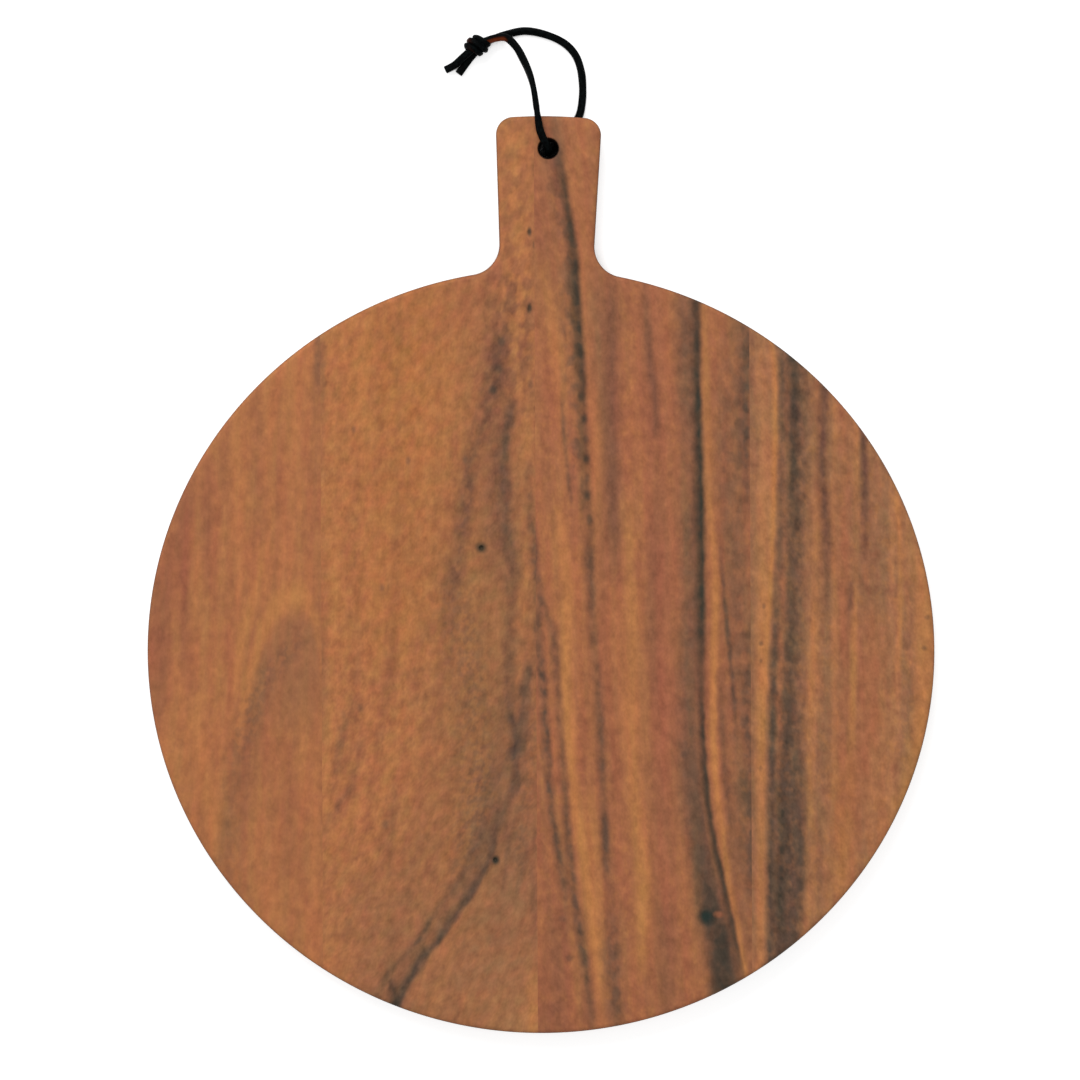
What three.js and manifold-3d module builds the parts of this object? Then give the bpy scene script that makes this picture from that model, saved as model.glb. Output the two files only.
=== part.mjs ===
// A round wooden serving board with a short tapered handle and a knotted hanging lace.
// Millimetres, +Z up. The origin is the middle of the disc on its underside, and +Y points to the handle.

import * as THREE from 'three';
import { mergeVertices } from 'three/addons/utils/BufferGeometryUtils.js';
import Module from 'manifold-3d';

// Board
const DISC_WIDTH = 360;
const DISC_LENGTH = 349.5;
const BOARD_THICKNESS = 15;
const EDGE_ROUND = 2.5;

// Handle
const HANDLE_LENGTH = 70;
const HANDLE_END_WIDTH = 48.9;
const HANDLE_ROOT_WIDTH = 42.5;
const HANDLE_CORNER_RADIUS = 8;
const HANDLE_END_CROWN = 0.6;
const NECK_FILLET_RADIUS = 14;

// Relieved underside of the handle, where the lace passes
const SCOOP_RADIUS = 20;
const SCOOP_SETBACK = 3;
const LACE_CLEARANCE = 0.4;

// Hanging hole
const HOLE_DIAMETER = 9;
const HOLE_INSET = 15.1;
const HOLE_ROUND = 1;

// Staves of the glued panel
const STAVE_WIDTH = 98;
const MIDDLE_SEAM_OFFSET = -2.2;
const STAVE_LEAN_DEGREES = 1.1;
const GLUE_LINE = 0.2;

// Leather lace
const LACE_DIAMETER = 3;
const KNOT_LENGTH = 10.6;
const KNOT_WIDTH = 10;
const KNOT_HEIGHT = 9.2;
const TURN_SPACING = 3.4;
const TURN_SLANT_DEGREES = -24;
const KNOT_GAP = 0.3;

// Finishes
const ORANGE_BROWN = 0xb07044;
const GOLDEN_BROWN = 0xa96c45;
const RED_BROWN = 0x9c6344;
const DARK_BROWN = 0x8d5d42;
const WOOD_ROUGHNESS = 0.5;
const LACE_COLOUR = 0x14171a;
const LACE_ROUGHNESS = 0.55;

// Fineness of the facets
const DISC_STEPS = 96;
const FILLET_STEPS = 8;
const CORNER_STEPS = 6;
const END_STEPS = 6;
const EDGE_STEPS = 4;
const SCOOP_STEPS = 8;
const HOLE_STEPS = 32;
const LACE_SIDES = 8;
const LOOP_STEPS = 72;
const TAIL_STEPS = 8;
const KNOT_STEPS = 16;

// Space that a cutting shape reaches past what it cuts, and how closely the neck fillet is placed
const CUT_MARGIN = 5;
const FILLET_PRECISION = 1e-9;

// The lace's middle line, from the knot over the handle, through the hole and back under it to the knot.
const LOOP_ROUTE = [
  [-30.3, 279.5, 6.2],
  [-25.2, 281.2, 5.8],
  [-20.4, 281.6, 5.6],
  [-15.7, 277.5, 7.0],
  [-11.9, 270.6, 10.4],
  [-9.0, 263.6, 14.2],
  [-7.6, 258.8, 16.1],
  [-6.7, 254.6, 16.9],
  [-5.7, 248.2, 17.0],
  [-4.9, 243.2, 16.9],
  [-3.9, 237.7, 16.8],
  [-2.9, 235.1, 16.7],
  [-1.7, 232.8, 16.3],
  [-0.6, 230.9, 15.0],
  [0.0, 229.4, 13.0],
  [0.1, 228.5, 10.5],
  [-0.1, 228.4, 7.8],
  [0.1, 229.3, 5.3],
  [1.0, 230.7, 3.3],
  [2.7, 232.3, 2.0],
  [4.8, 234.5, 1.5],
  [8.5, 239.2, 1.5],
  [11.9, 243.1, 1.5],
  [14.2, 247.0, 1.5],
  [15.2, 252.1, 1.5],
  [15.5, 258.6, 1.5],
  [14.5, 267.8, 1.5],
  [11.7, 274.9, 1.5],
  [6.5, 280.1, 1.5],
  [-2.8, 284.1, 1.5],
  [-12.0, 285.4, 1.5],
  [-20.3, 283.6, 1.6],
  [-25.3, 281.8, 2.2],
  [-30.3, 279.8, 2.9],
];

const TAIL_LONG_ROUTE = [
  [-35.4, 276.2, 5.9],
  [-39.6, 272.5, 4.9],
  [-44.0, 268.9, 2.5],
  [-47.9, 266.9, 1.5],
];

const TAIL_SHORT_ROUTE = [
  [-33.2, 276.0, 4.4],
  [-36.2, 272.9, 2.0],
  [-39.0, 269.2, 1.5],
  [-41.8, 265.2, 1.5],
];

const KNOT_CENTRE = [-33.3, 277.9, 4.6];
const KNOT_HEADING_DEGREES = 215;

// Places worked out from the sizes above
const discEdgeY = DISC_LENGTH / 2;
const handleEndY = discEdgeY + HANDLE_LENGTH;
const holeY = handleEndY - HOLE_INSET;
const reliefDepth = LACE_DIAMETER + LACE_CLEARANCE;
const laceRadius = LACE_DIAMETER / 2;

const wasm = await Module();
wasm.setup();

// A closed solid from a three.js geometry.
function toSolid(geometry) {
  geometry.deleteAttribute('normal');
  geometry.deleteAttribute('uv');
  const merged = mergeVertices(geometry);
  return new wasm.Manifold(
    new wasm.Mesh({
      numProp: 3,
      vertProperties: new Float32Array(merged.getAttribute('position').array),
      triVerts: new Uint32Array(merged.getIndex().array),
    }),
  );
}

// A three.js geometry from a closed solid.
function toGeometry(solid) {
  const mesh = solid.getMesh();
  const geometry = new THREE.BufferGeometry();
  geometry.setAttribute('position', new THREE.BufferAttribute(mesh.vertProperties, 3));
  geometry.setIndex(new THREE.BufferAttribute(mesh.triVerts, 1));
  geometry.computeVertexNormals();
  return geometry;
}

function vectors(route) {
  return route.map((point) => new THREE.Vector3(...point));
}

// A point on the disc's oval rim, and the direction straight out of the rim there.
function rimPoint(angle) {
  return new THREE.Vector2((Math.cos(angle) * DISC_WIDTH) / 2, (Math.sin(angle) * DISC_LENGTH) / 2);
}

function rimNormal(angle) {
  return new THREE.Vector2(Math.cos(angle) * DISC_LENGTH, Math.sin(angle) * DISC_WIDTH).normalize();
}

// The angle along the disc's oval where the neck fillet leaves it, and the fillet's centre.
// The fillet is tangent to the oval and to the handle's side, which runs from root to end.
function neckFillet(root, end) {
  const along = end.clone().sub(root).normalize();
  const outward = new THREE.Vector2(along.y, -along.x);
  const centreAt = (angle) => rimPoint(angle).addScaledVector(rimNormal(angle), NECK_FILLET_RADIUS);
  let low = 0;
  let high = Math.PI / 2;
  while (high - low > FILLET_PRECISION) {
    const middle = (low + high) / 2;
    const reach = centreAt(middle).sub(root).dot(outward);
    if (reach > NECK_FILLET_RADIUS) low = middle;
    else high = middle;
  }
  return { angle: low, centre: centreAt(low), outward };
}

// Points of an arc about a centre.
function arcPoints(centre, radius, start, finish, clockwise, steps) {
  const arc = new THREE.EllipseCurve(centre.x, centre.y, radius, radius, start, finish, clockwise);
  return arc.getPoints(steps);
}

// The right half of the handle's outline, from the oval up to the middle of the handle's end.
function handleHalf() {
  const root = new THREE.Vector2(HANDLE_ROOT_WIDTH / 2, discEdgeY);
  const end = new THREE.Vector2(HANDLE_END_WIDTH / 2, handleEndY);
  const fillet = neckFillet(root, end);
  const filletStart = rimNormal(fillet.angle).negate().angle();
  const filletFinish = fillet.outward.clone().negate().angle();
  const neck = arcPoints(fillet.centre, NECK_FILLET_RADIUS, filletStart, filletFinish, true, FILLET_STEPS);

  const shoulderY = handleEndY - HANDLE_END_CROWN - HANDLE_CORNER_RADIUS;
  const sideAtShoulder = root.x + ((end.x - root.x) * (shoulderY - root.y)) / (end.y - root.y);
  const cornerCentre = new THREE.Vector2(sideAtShoulder - HANDLE_CORNER_RADIUS / fillet.outward.x, shoulderY);
  const corner = arcPoints(
    cornerCentre,
    HANDLE_CORNER_RADIUS,
    fillet.outward.angle() - 2 * Math.PI,
    Math.PI / 2,
    false,
    CORNER_STEPS,
  );

  const crown = new THREE.QuadraticBezierCurve(
    new THREE.Vector2(cornerCentre.x, handleEndY - HANDLE_END_CROWN),
    new THREE.Vector2(cornerCentre.x / 2, handleEndY),
    new THREE.Vector2(0, handleEndY),
  ).getPoints(END_STEPS);
  return { angle: fillet.angle, points: [...neck, ...corner.slice(0, -1), ...crown] };
}

// The whole board's outline seen from above.
function boardOutline() {
  const half = handleHalf();
  const mirrored = half.points
    .slice(0, -1)
    .reverse()
    .map((point) => new THREE.Vector2(-point.x, point.y));
  const rim = new THREE.EllipseCurve(
    0,
    0,
    DISC_WIDTH / 2,
    DISC_LENGTH / 2,
    Math.PI - half.angle,
    2 * Math.PI + half.angle,
    false,
  ).getPoints(DISC_STEPS);
  return new THREE.Shape([...half.points, ...mirrored, ...rim.slice(1, -1)]);
}

// A panel of the board's outline with rounded edges, from a height up to the serving face.
function roundedPanel(outline, bottom) {
  const geometry = new THREE.ExtrudeGeometry(outline, {
    depth: BOARD_THICKNESS - bottom - 2 * EDGE_ROUND,
    bevelThickness: EDGE_ROUND,
    bevelSize: EDGE_ROUND,
    bevelOffset: -EDGE_ROUND,
    bevelSegments: EDGE_STEPS,
  });
  geometry.translate(0, 0, bottom + EDGE_ROUND);
  return toSolid(geometry);
}

// The space cut away under the handle: a flat ceiling that curves down to the underside at the neck.
function handleScoop() {
  const floor = -CUT_MARGIN;
  const farY = handleEndY + CUT_MARGIN;
  const scoopY = discEdgeY + SCOOP_SETBACK;
  const run = Math.sqrt(SCOOP_RADIUS ** 2 - (SCOOP_RADIUS - reliefDepth) ** 2);
  const centre = new THREE.Vector2(scoopY + run, reliefDepth - SCOOP_RADIUS);
  const startAngle = Math.PI - Math.asin((floor - centre.y) / SCOOP_RADIUS);
  const ceiling = arcPoints(centre, SCOOP_RADIUS, startAngle, Math.PI / 2, true, SCOOP_STEPS);
  const profile = new THREE.Shape([
    ...ceiling,
    new THREE.Vector2(farY, reliefDepth),
    new THREE.Vector2(farY, floor),
  ]);
  const geometry = new THREE.ExtrudeGeometry(profile, { depth: DISC_WIDTH, bevelEnabled: false });
  geometry.translate(0, 0, -DISC_WIDTH / 2);
  geometry.applyMatrix4(
    new THREE.Matrix4().makeBasis(
      new THREE.Vector3(0, 1, 0),
      new THREE.Vector3(0, 0, 1),
      new THREE.Vector3(1, 0, 0),
    ),
  );
  return toSolid(geometry);
}

// The hanging hole, flaring at both mouths by a rounded edge.
function hangingHole() {
  const radius = HOLE_DIAMETER / 2;
  const lowMouth = [];
  const highMouth = [];
  for (let step = 0; step <= EDGE_STEPS; step += 1) {
    const angle = ((Math.PI / 2) * step) / EDGE_STEPS;
    const flare = radius + HOLE_ROUND * (1 - Math.sin(angle));
    const depth = HOLE_ROUND * (1 - Math.cos(angle));
    lowMouth.push(new THREE.Vector2(flare, reliefDepth + depth));
    highMouth.unshift(new THREE.Vector2(flare, BOARD_THICKNESS - depth));
  }
  const mouth = radius + HOLE_ROUND;
  const profile = [
    new THREE.Vector2(0, -CUT_MARGIN),
    new THREE.Vector2(mouth, -CUT_MARGIN),
    ...lowMouth,
    ...highMouth,
    new THREE.Vector2(mouth, BOARD_THICKNESS + CUT_MARGIN),
    new THREE.Vector2(0, BOARD_THICKNESS + CUT_MARGIN),
  ];
  const geometry = new THREE.LatheGeometry(profile, HOLE_STEPS);
  geometry.rotateX(Math.PI / 2);
  geometry.translate(0, holeY, 0);
  return toSolid(geometry);
}

// The board before it is divided into staves.
function wholeBoard() {
  const outline = boardOutline();
  const thick = roundedPanel(outline, 0).subtract(handleScoop());
  return roundedPanel(outline, reliefDepth).add(thick).subtract(hangingHole());
}

// The slab of the panel that one stave is cut from. The outer ones reach past the rim.
function staveSlab(leftSeam, rightSeam) {
  const left = leftSeam === null ? -DISC_WIDTH : leftSeam + GLUE_LINE / 2;
  const right = rightSeam === null ? DISC_WIDTH : rightSeam - GLUE_LINE / 2;
  const length = 2 * (handleEndY + CUT_MARGIN);
  const geometry = new THREE.BoxGeometry(right - left, length, BOARD_THICKNESS + 2 * CUT_MARGIN);
  geometry.translate((left + right) / 2, 0, BOARD_THICKNESS / 2);
  geometry.rotateZ(THREE.MathUtils.degToRad(STAVE_LEAN_DEGREES));
  return toSolid(geometry);
}

// A round lace along a smooth line.
function laceTube(route, steps) {
  const section = new THREE.Shape();
  for (let side = 0; side < LACE_SIDES; side += 1) {
    const angle = (2 * Math.PI * (side + 0.5)) / LACE_SIDES;
    const corner = new THREE.Vector2(Math.cos(angle), Math.sin(angle)).multiplyScalar(laceRadius);
    if (side === 0) section.moveTo(corner.x, corner.y);
    else section.lineTo(corner.x, corner.y);
  }
  const path = new THREE.CatmullRomCurve3(vectors(route), false, 'centripetal');
  return toSolid(new THREE.ExtrudeGeometry(section, { steps, extrudePath: path, bevelEnabled: false }));
}

// The knot: a drawn-up core with two slanting turns of lace round it, grown by a margin all over.
function laceKnot(margin) {
  const coreHalfWidth = KNOT_WIDTH / 2 - laceRadius;
  const turnRadius = KNOT_HEIGHT / 2 - laceRadius;
  const core = new THREE.SphereGeometry(1, KNOT_STEPS, KNOT_STEPS / 2);
  core.scale(KNOT_LENGTH / 2 + margin, coreHalfWidth + margin, turnRadius + margin);
  let knot = toSolid(core);
  for (const side of [-1, 1]) {
    const turn = new THREE.TorusGeometry(turnRadius, laceRadius + margin, LACE_SIDES, KNOT_STEPS);
    turn.rotateY(Math.PI / 2);
    turn.scale(1, KNOT_WIDTH / KNOT_HEIGHT, 1);
    turn.rotateZ(THREE.MathUtils.degToRad(TURN_SLANT_DEGREES));
    turn.translate((side * TURN_SPACING) / 2, 0, 0);
    knot = knot.add(toSolid(turn));
  }
  return knot.rotate(0, 0, KNOT_HEADING_DEGREES).translate(...KNOT_CENTRE);
}

function wood(colour) {
  return new THREE.MeshStandardMaterial({ color: colour, roughness: WOOD_ROUGHNESS, metalness: 0 });
}

function leather() {
  return new THREE.MeshStandardMaterial({ color: LACE_COLOUR, roughness: LACE_ROUGHNESS, metalness: 0 });
}

const board = new THREE.Group();

function addPiece(name, solid, material) {
  const piece = new THREE.Mesh(toGeometry(solid), material);
  piece.name = name;
  board.add(piece);
}

// Staves, from left to right
const seams = [-1, 0, 1].map((place) => MIDDLE_SEAM_OFFSET + place * STAVE_WIDTH);
const panel = wholeBoard();
addPiece('stave_left_outer', panel.intersect(staveSlab(null, seams[0])), wood(ORANGE_BROWN));
addPiece('stave_left_inner', panel.intersect(staveSlab(seams[0], seams[1])), wood(GOLDEN_BROWN));
addPiece('stave_right_inner', panel.intersect(staveSlab(seams[1], seams[2])), wood(RED_BROWN));
addPiece('stave_right_outer', panel.intersect(staveSlab(seams[2], null)), wood(DARK_BROWN));

// Lace
const roomForKnot = laceKnot(KNOT_GAP);
addPiece('lace_knot', laceKnot(0), leather());
addPiece('lace_loop', laceTube(LOOP_ROUTE, LOOP_STEPS).subtract(roomForKnot), leather());
addPiece('lace_tail_long', laceTube(TAIL_LONG_ROUTE, TAIL_STEPS).subtract(roomForKnot), leather());
addPiece('lace_tail_short', laceTube(TAIL_SHORT_ROUTE, TAIL_STEPS).subtract(roomForKnot), leather());

export default board;
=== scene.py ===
import math
from collections import namedtuple

import bmesh
import bpy
from mathutils import Matrix, Quaternion, Vector
from mathutils.geometry import delaunay_2d_cdt


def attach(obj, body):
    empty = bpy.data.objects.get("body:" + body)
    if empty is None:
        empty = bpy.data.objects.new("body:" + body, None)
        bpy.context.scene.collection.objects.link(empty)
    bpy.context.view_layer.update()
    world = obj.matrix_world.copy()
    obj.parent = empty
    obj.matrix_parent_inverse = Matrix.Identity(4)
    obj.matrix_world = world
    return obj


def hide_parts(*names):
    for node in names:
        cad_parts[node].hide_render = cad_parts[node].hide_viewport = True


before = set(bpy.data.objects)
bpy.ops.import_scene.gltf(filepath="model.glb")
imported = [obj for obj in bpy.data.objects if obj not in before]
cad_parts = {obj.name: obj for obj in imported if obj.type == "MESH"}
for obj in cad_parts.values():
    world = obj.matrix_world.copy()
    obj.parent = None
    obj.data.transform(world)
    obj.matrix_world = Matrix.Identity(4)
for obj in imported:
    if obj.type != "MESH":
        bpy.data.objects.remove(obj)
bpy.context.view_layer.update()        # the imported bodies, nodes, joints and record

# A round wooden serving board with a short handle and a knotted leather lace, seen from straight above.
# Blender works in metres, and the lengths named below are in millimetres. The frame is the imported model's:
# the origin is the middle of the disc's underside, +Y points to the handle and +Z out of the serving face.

MM = 0.001

# Board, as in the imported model
DISC_WIDTH = 360
DISC_LENGTH = 349.5
BOARD_THICKNESS = 15
EDGE_ROUND = 2.5
HANDLE_LENGTH = 70
HANDLE_END_WIDTH = 48.9
HANDLE_ROOT_WIDTH = 42.5
HANDLE_CORNER_RADIUS = 8
HANDLE_END_CROWN = 0.6
NECK_FILLET_RADIUS = 14
RELIEF_DEPTH = 3.4
SCOOP_RADIUS = 20
SCOOP_SETBACK = 3
HOLE_DIAMETER = 9
HOLE_INSET = 15.1
HOLE_ROUND = 1
STAVE_WIDTH = 98
MIDDLE_SEAM_OFFSET = -2.2
STAVE_LEAN = math.radians(1.1)

disc_edge_y = DISC_LENGTH / 2
handle_end_y = disc_edge_y + HANDLE_LENGTH
hole_y = handle_end_y - HOLE_INSET

# Lace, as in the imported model: its middle line from the knot over the handle, down the hole and back
LACE_WIDTH = 3.4
LACE_THICKNESS = 2.7
LOOP_ROUTE = (
    (-30.3, 279.5, 6.2), (-25.2, 281.2, 5.8), (-20.4, 281.6, 5.6), (-15.7, 277.5, 7.0),
    (-11.9, 270.6, 10.4), (-9.0, 263.6, 14.2), (-7.6, 258.8, 16.1), (-6.7, 254.6, 16.9),
    (-5.7, 248.2, 17.0), (-4.9, 243.2, 16.9), (-3.9, 237.7, 16.8), (-2.9, 235.1, 16.7),
    (-1.7, 232.8, 16.3), (-0.6, 230.9, 15.0), (0.0, 229.4, 13.0), (0.1, 228.5, 10.5),
    (-0.1, 228.4, 7.8), (0.1, 229.3, 5.3), (1.0, 230.7, 3.3), (2.7, 232.3, 2.0),
    (4.8, 234.5, 1.5), (8.5, 239.2, 1.5), (11.9, 243.1, 1.5), (14.2, 247.0, 1.5),
    (15.2, 252.1, 1.5), (15.5, 258.6, 1.5), (14.5, 267.8, 1.5), (11.7, 274.9, 1.5),
    (6.5, 280.1, 1.5), (-2.8, 284.1, 1.5), (-12.0, 285.4, 1.5), (-20.3, 283.6, 1.6),
    (-25.3, 281.8, 2.2), (-30.3, 279.8, 2.9),
)
TAIL_LONG_ROUTE = ((-35.4, 276.2, 5.9), (-39.6, 272.5, 4.9), (-44.0, 268.9, 2.5), (-47.9, 266.9, 1.5))
TAIL_SHORT_ROUTE = ((-33.2, 276.0, 4.4), (-36.2, 272.9, 2.0), (-39.0, 269.2, 1.5), (-41.8, 265.2, 1.5))
KNOT_LONG_MIDDLE = (-33.0, 277.9, 6.0)
KNOT_SHORT_MIDDLE = (-32.2, 277.8, 3.4)
KNOT_CENTRE = (-33.3, 277.9, 4.6)
KNOT_HEADING = math.radians(215)

# Camera: straight above, level with the photograph's frame
CAMERA_HEIGHT = 1370     # above the serving face
CAMERA_LENS = 100
CAMERA_SENSOR = 36
CAMERA_X = -1.2
CAMERA_Y = 50.8
CAMERA_ROLL = math.radians(0.83)


def linear(red, green, blue):
    """A colour given as 0 to 255 screen values, by the sRGB curve the linear colour that Blender takes."""
    def channel(value):
        value /= 255
        return value / 12.92 if value <= 0.04045 else ((value + 0.055) / 1.055) ** 2.4
    return (channel(red), channel(green), channel(blue), 1.0)


class Graph:
    """A material's node tree. Each method adds a node and gives back its output socket."""

    def __init__(self, tree):
        self.tree = tree
        self.tree.nodes.clear()

    def add(self, kind, inputs=None, output=0, **settings):
        node = self.tree.nodes.new(kind)
        for name, value in settings.items():
            setattr(node, name, value)
        for socket, value in (inputs or {}).items():
            if isinstance(value, bpy.types.NodeSocket):
                self.tree.links.new(value, node.inputs[socket])
            else:
                node.inputs[socket].default_value = value
        return node.outputs[output]

    def math(self, operation, *values):
        return self.add("ShaderNodeMath", dict(enumerate(values)), operation=operation)

    def times(self, first, second):
        return self.math("MULTIPLY", first, second)

    def vector(self, operation, *values, **named):
        inputs = dict(enumerate(values))
        inputs.update(named)
        return self.add("ShaderNodeVectorMath", inputs, operation=operation)

    def length(self, vector):
        return self.add("ShaderNodeVectorMath", {0: vector}, output="Value", operation="LENGTH")

    def combine(self, x, y, z):
        return self.add("ShaderNodeCombineXYZ", {0: x, 1: y, 2: z})

    def noise(self, vector, detail=2.0, roughness=0.5):
        inputs = {"Vector": vector, "Scale": 1.0, "Detail": detail, "Roughness": roughness}
        return self.add("ShaderNodeTexNoise", inputs)

    def ramp(self, value, low, high, start=0.0, finish=1.0):
        """A smooth step from start to finish as value goes from low to high."""
        inputs = {0: value, 1: low, 2: high, 3: start, 4: finish}
        return self.add("ShaderNodeMapRange", inputs, interpolation_type="SMOOTHSTEP", clamp=True)

    def straight(self, value, low, high, start=0.0, finish=1.0):
        """A straight line from start to finish as value goes from low to high, level beyond."""
        return self.add("ShaderNodeMapRange", {0: value, 1: low, 2: high, 3: start, 4: finish}, clamp=True)

    def mix(self, factor, first, second, blend="MIX"):
        """Mixes two colours, which are the node's sockets 6 and 7."""
        inputs = {0: factor, 6: first, 7: second}
        return self.add("ShaderNodeMix", inputs, output=2, data_type="RGBA", blend_type=blend)

    def curve(self, value, points):
        """A smooth curve through points that lie between 0 and 1 both ways."""
        output = self.add("ShaderNodeFloatCurve", {"Value": value})
        mapping = output.node.mapping
        mapping.extend = "HORIZONTAL"
        line = mapping.curves[0]
        while len(line.points) < len(points):
            line.points.new(0.5, 0.5)
        for point, place in zip(line.points, sorted(points)):
            point.location = place
            point.handle_type = "AUTO_CLAMPED"
        mapping.update()
        return output

    def finish(self, kind, surface):
        output = self.tree.nodes.new(kind)
        self.tree.links.new(surface, output.inputs["Surface"])


def new_material(name, kind=Graph, *settings):
    material = bpy.data.materials.new(name)
    material.use_nodes = True
    return material, kind(material.node_tree, *settings)


def place_object(name, data):
    placed = bpy.data.objects.new(name, data)
    bpy.context.collection.objects.link(placed)
    return placed


def new_piece(name, bm, sharp_edge, material):
    """A scene object from a finished mesh in metres, shaded smooth but for its sharp edges."""
    mesh = bpy.data.meshes.new(name)
    bm.to_mesh(mesh)
    bm.free()
    mesh.polygons.foreach_set("use_smooth", [True] * len(mesh.polygons))
    mesh.set_sharp_from_angle(angle=sharp_edge)
    mesh.materials.append(material)
    return place_object(name, mesh)


def join_rings(bm, rings):
    for low, high in zip(rings, rings[1:]):
        for i in range(len(low)):
            k = (i + 1) % len(low)
            bm.faces.new((low[i], low[k], high[k], high[i]))


# Camera, light and floor

def make_camera():
    data = bpy.data.cameras.new("camera")
    data.lens = CAMERA_LENS
    data.sensor_width = CAMERA_SENSOR
    camera = place_object("camera", data)
    camera.location = Vector((CAMERA_X, CAMERA_Y, BOARD_THICKNESS + CAMERA_HEIGHT)) * MM
    camera.rotation_euler = (0, 0, CAMERA_ROLL)
    bpy.context.scene.camera = camera


def seen_directly(graph):
    """1 for rays that show the background itself: to the camera, in a reflection or through glass."""
    path = graph.add("ShaderNodeLightPath").node.outputs
    either = graph.math("MAXIMUM", path["Is Camera Ray"], path["Is Glossy Ray"])
    return graph.math("MAXIMUM", either, path["Is Transmission Ray"])


WORLD_LIGHT = 0.5        # of the sky as a light. Seen directly, it is white
FLOOR_SIZE = 12000
FLOOR_DROP = 0.2         # below the underside, so that the two don't touch
FLOOR_COLOUR = (0.6, 0.6, 0.6, 1)
FLOOR_LIFT = 0.68        # the glow that brings the open floor up to white
COVER_DISTANCE = 30      # how near something has to be to keep the open sky off the floor
COVER_SAMPLES = 12
COVERED = 0.2            # shares of open sky between which the floor goes from painted shade to white
OPEN = 0.42
# the colour painted on the floor as shade where the board covers it
PAINTED_SHADE_COLOUR = (0.02, 0.02, 0.02, 1)
Lamp = namedtuple("Lamp", "name place size power")
LAMPS = (
    Lamp("key", (-700, 1500, 1700), (1500, 1000), 30),
    Lamp("top", (0, 0, 2300), (1200, 1200), 6),
)


def make_world():
    world = bpy.data.worlds.new("studio")
    bpy.context.scene.world = world
    world.use_nodes = True
    graph = Graph(world.node_tree)
    strength = graph.straight(seen_directly(graph), 0, 1, WORLD_LIGHT, 1.0)
    background = graph.add("ShaderNodeBackground", {"Color": (1, 1, 1, 1), "Strength": strength})
    graph.finish("ShaderNodeOutputWorld", background)


def make_lamp(name, place, size, power):
    data = bpy.data.lights.new(name, "AREA")
    data.shape = "RECTANGLE"
    data.size = size[0] * MM
    data.size_y = size[1] * MM
    data.energy = power
    lamp = place_object(name, data)
    lamp.location = Vector(place) * MM
    lamp.rotation_euler = (-Vector(place)).to_track_quat("-Z", "Y").to_euler()


def make_floor():
    half = FLOOR_SIZE / 2 * MM
    mesh = bpy.data.meshes.new("floor")
    corners = [(-half, -half), (half, -half), (half, half), (-half, half)]
    mesh.from_pydata([(x, y, -FLOOR_DROP * MM) for x, y in corners], [], [(0, 1, 2, 3)])
    material, graph = new_material("floor")
    sky = graph.add("ShaderNodeAmbientOcclusion", {"Distance": COVER_DISTANCE * MM}, output="AO",
                    samples=COVER_SAMPLES)
    open_floor = graph.ramp(sky, COVERED, OPEN)
    # painted shade: where the board covers the floor from the sky, its colour goes dark and its glow goes
    # out
    colour = graph.mix(open_floor, PAINTED_SHADE_COLOUR, FLOOR_COLOUR)
    paint = graph.add("ShaderNodeBsdfDiffuse", {"Color": colour})
    lift = graph.times(graph.times(seen_directly(graph), FLOOR_LIFT), open_floor)
    glow = graph.add("ShaderNodeEmission", {"Color": (1, 1, 1, 1), "Strength": lift})
    both = graph.add("ShaderNodeAddShader", {0: paint, 1: glow})
    graph.finish("ShaderNodeOutputMaterial", both)
    mesh.materials.append(material)
    floor = place_object("floor", mesh)


make_camera()
make_world()
for lamp in LAMPS:
    make_lamp(*lamp)
make_floor()
bpy.context.scene.view_settings.view_transform = "Standard"


# Lace

LACE_CORNER = 3.4        # how square the strip's section is: 2 would be an oval
SECTION_STEPS = 20
ROUTE_STEP = 0.8
SPLINE_STEPS = 24
LACE_SHARP_EDGE = math.radians(50)


def spline_point(a, b, c, d, share):
    """A point between b and c on the centripetal spline through four points."""
    t1 = (b - a).length ** 0.5
    t2 = t1 + (c - b).length ** 0.5
    t3 = t2 + (d - c).length ** 0.5
    t = t1 + (t2 - t1) * share
    ab = a.lerp(b, t / t1)
    bc = b.lerp(c, (t - t1) / (t2 - t1))
    cd = c.lerp(d, (t - t2) / (t3 - t2))
    return ab.lerp(bc, t / t2).lerp(bc.lerp(cd, (t - t1) / (t3 - t1)), share)


def smooth_route(route):
    """Evenly spaced points on the smooth line through a route's points."""
    points = [Vector(p) for p in route]
    points = [2 * points[0] - points[1], *points, 2 * points[-1] - points[-2]]
    fine = []
    for a, b, c, d in zip(points, points[1:], points[2:], points[3:]):
        for i in range(SPLINE_STEPS):
            fine.append(spline_point(a, b, c, d, i / SPLINE_STEPS))
    fine.append(points[-2])
    lengths = [0.0]
    for a, b in zip(fine, fine[1:]):
        lengths.append(lengths[-1] + (b - a).length)
    count = round(lengths[-1] / ROUTE_STEP)
    even = []
    index = 0
    for i in range(count + 1):
        target = lengths[-1] * i / count
        while index < len(lengths) - 2 and lengths[index + 1] < target:
            index += 1
        span = lengths[index + 1] - lengths[index]
        even.append(fine[index].lerp(fine[index + 1], (target - lengths[index]) / span))
    return even


def section_ring():
    """A square-cut strip's outline: flat faces with softly rounded corners."""
    ring = []
    for i in range(SECTION_STEPS):
        angle = 2 * math.pi * i / SECTION_STEPS
        c = math.cos(angle)
        s = math.sin(angle)
        reach = (abs(c) ** LACE_CORNER + abs(s) ** LACE_CORNER) ** (-1 / LACE_CORNER)
        ring.append((c * reach * LACE_WIDTH / 2, s * reach * LACE_THICKNESS / 2))
    return ring


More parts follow.
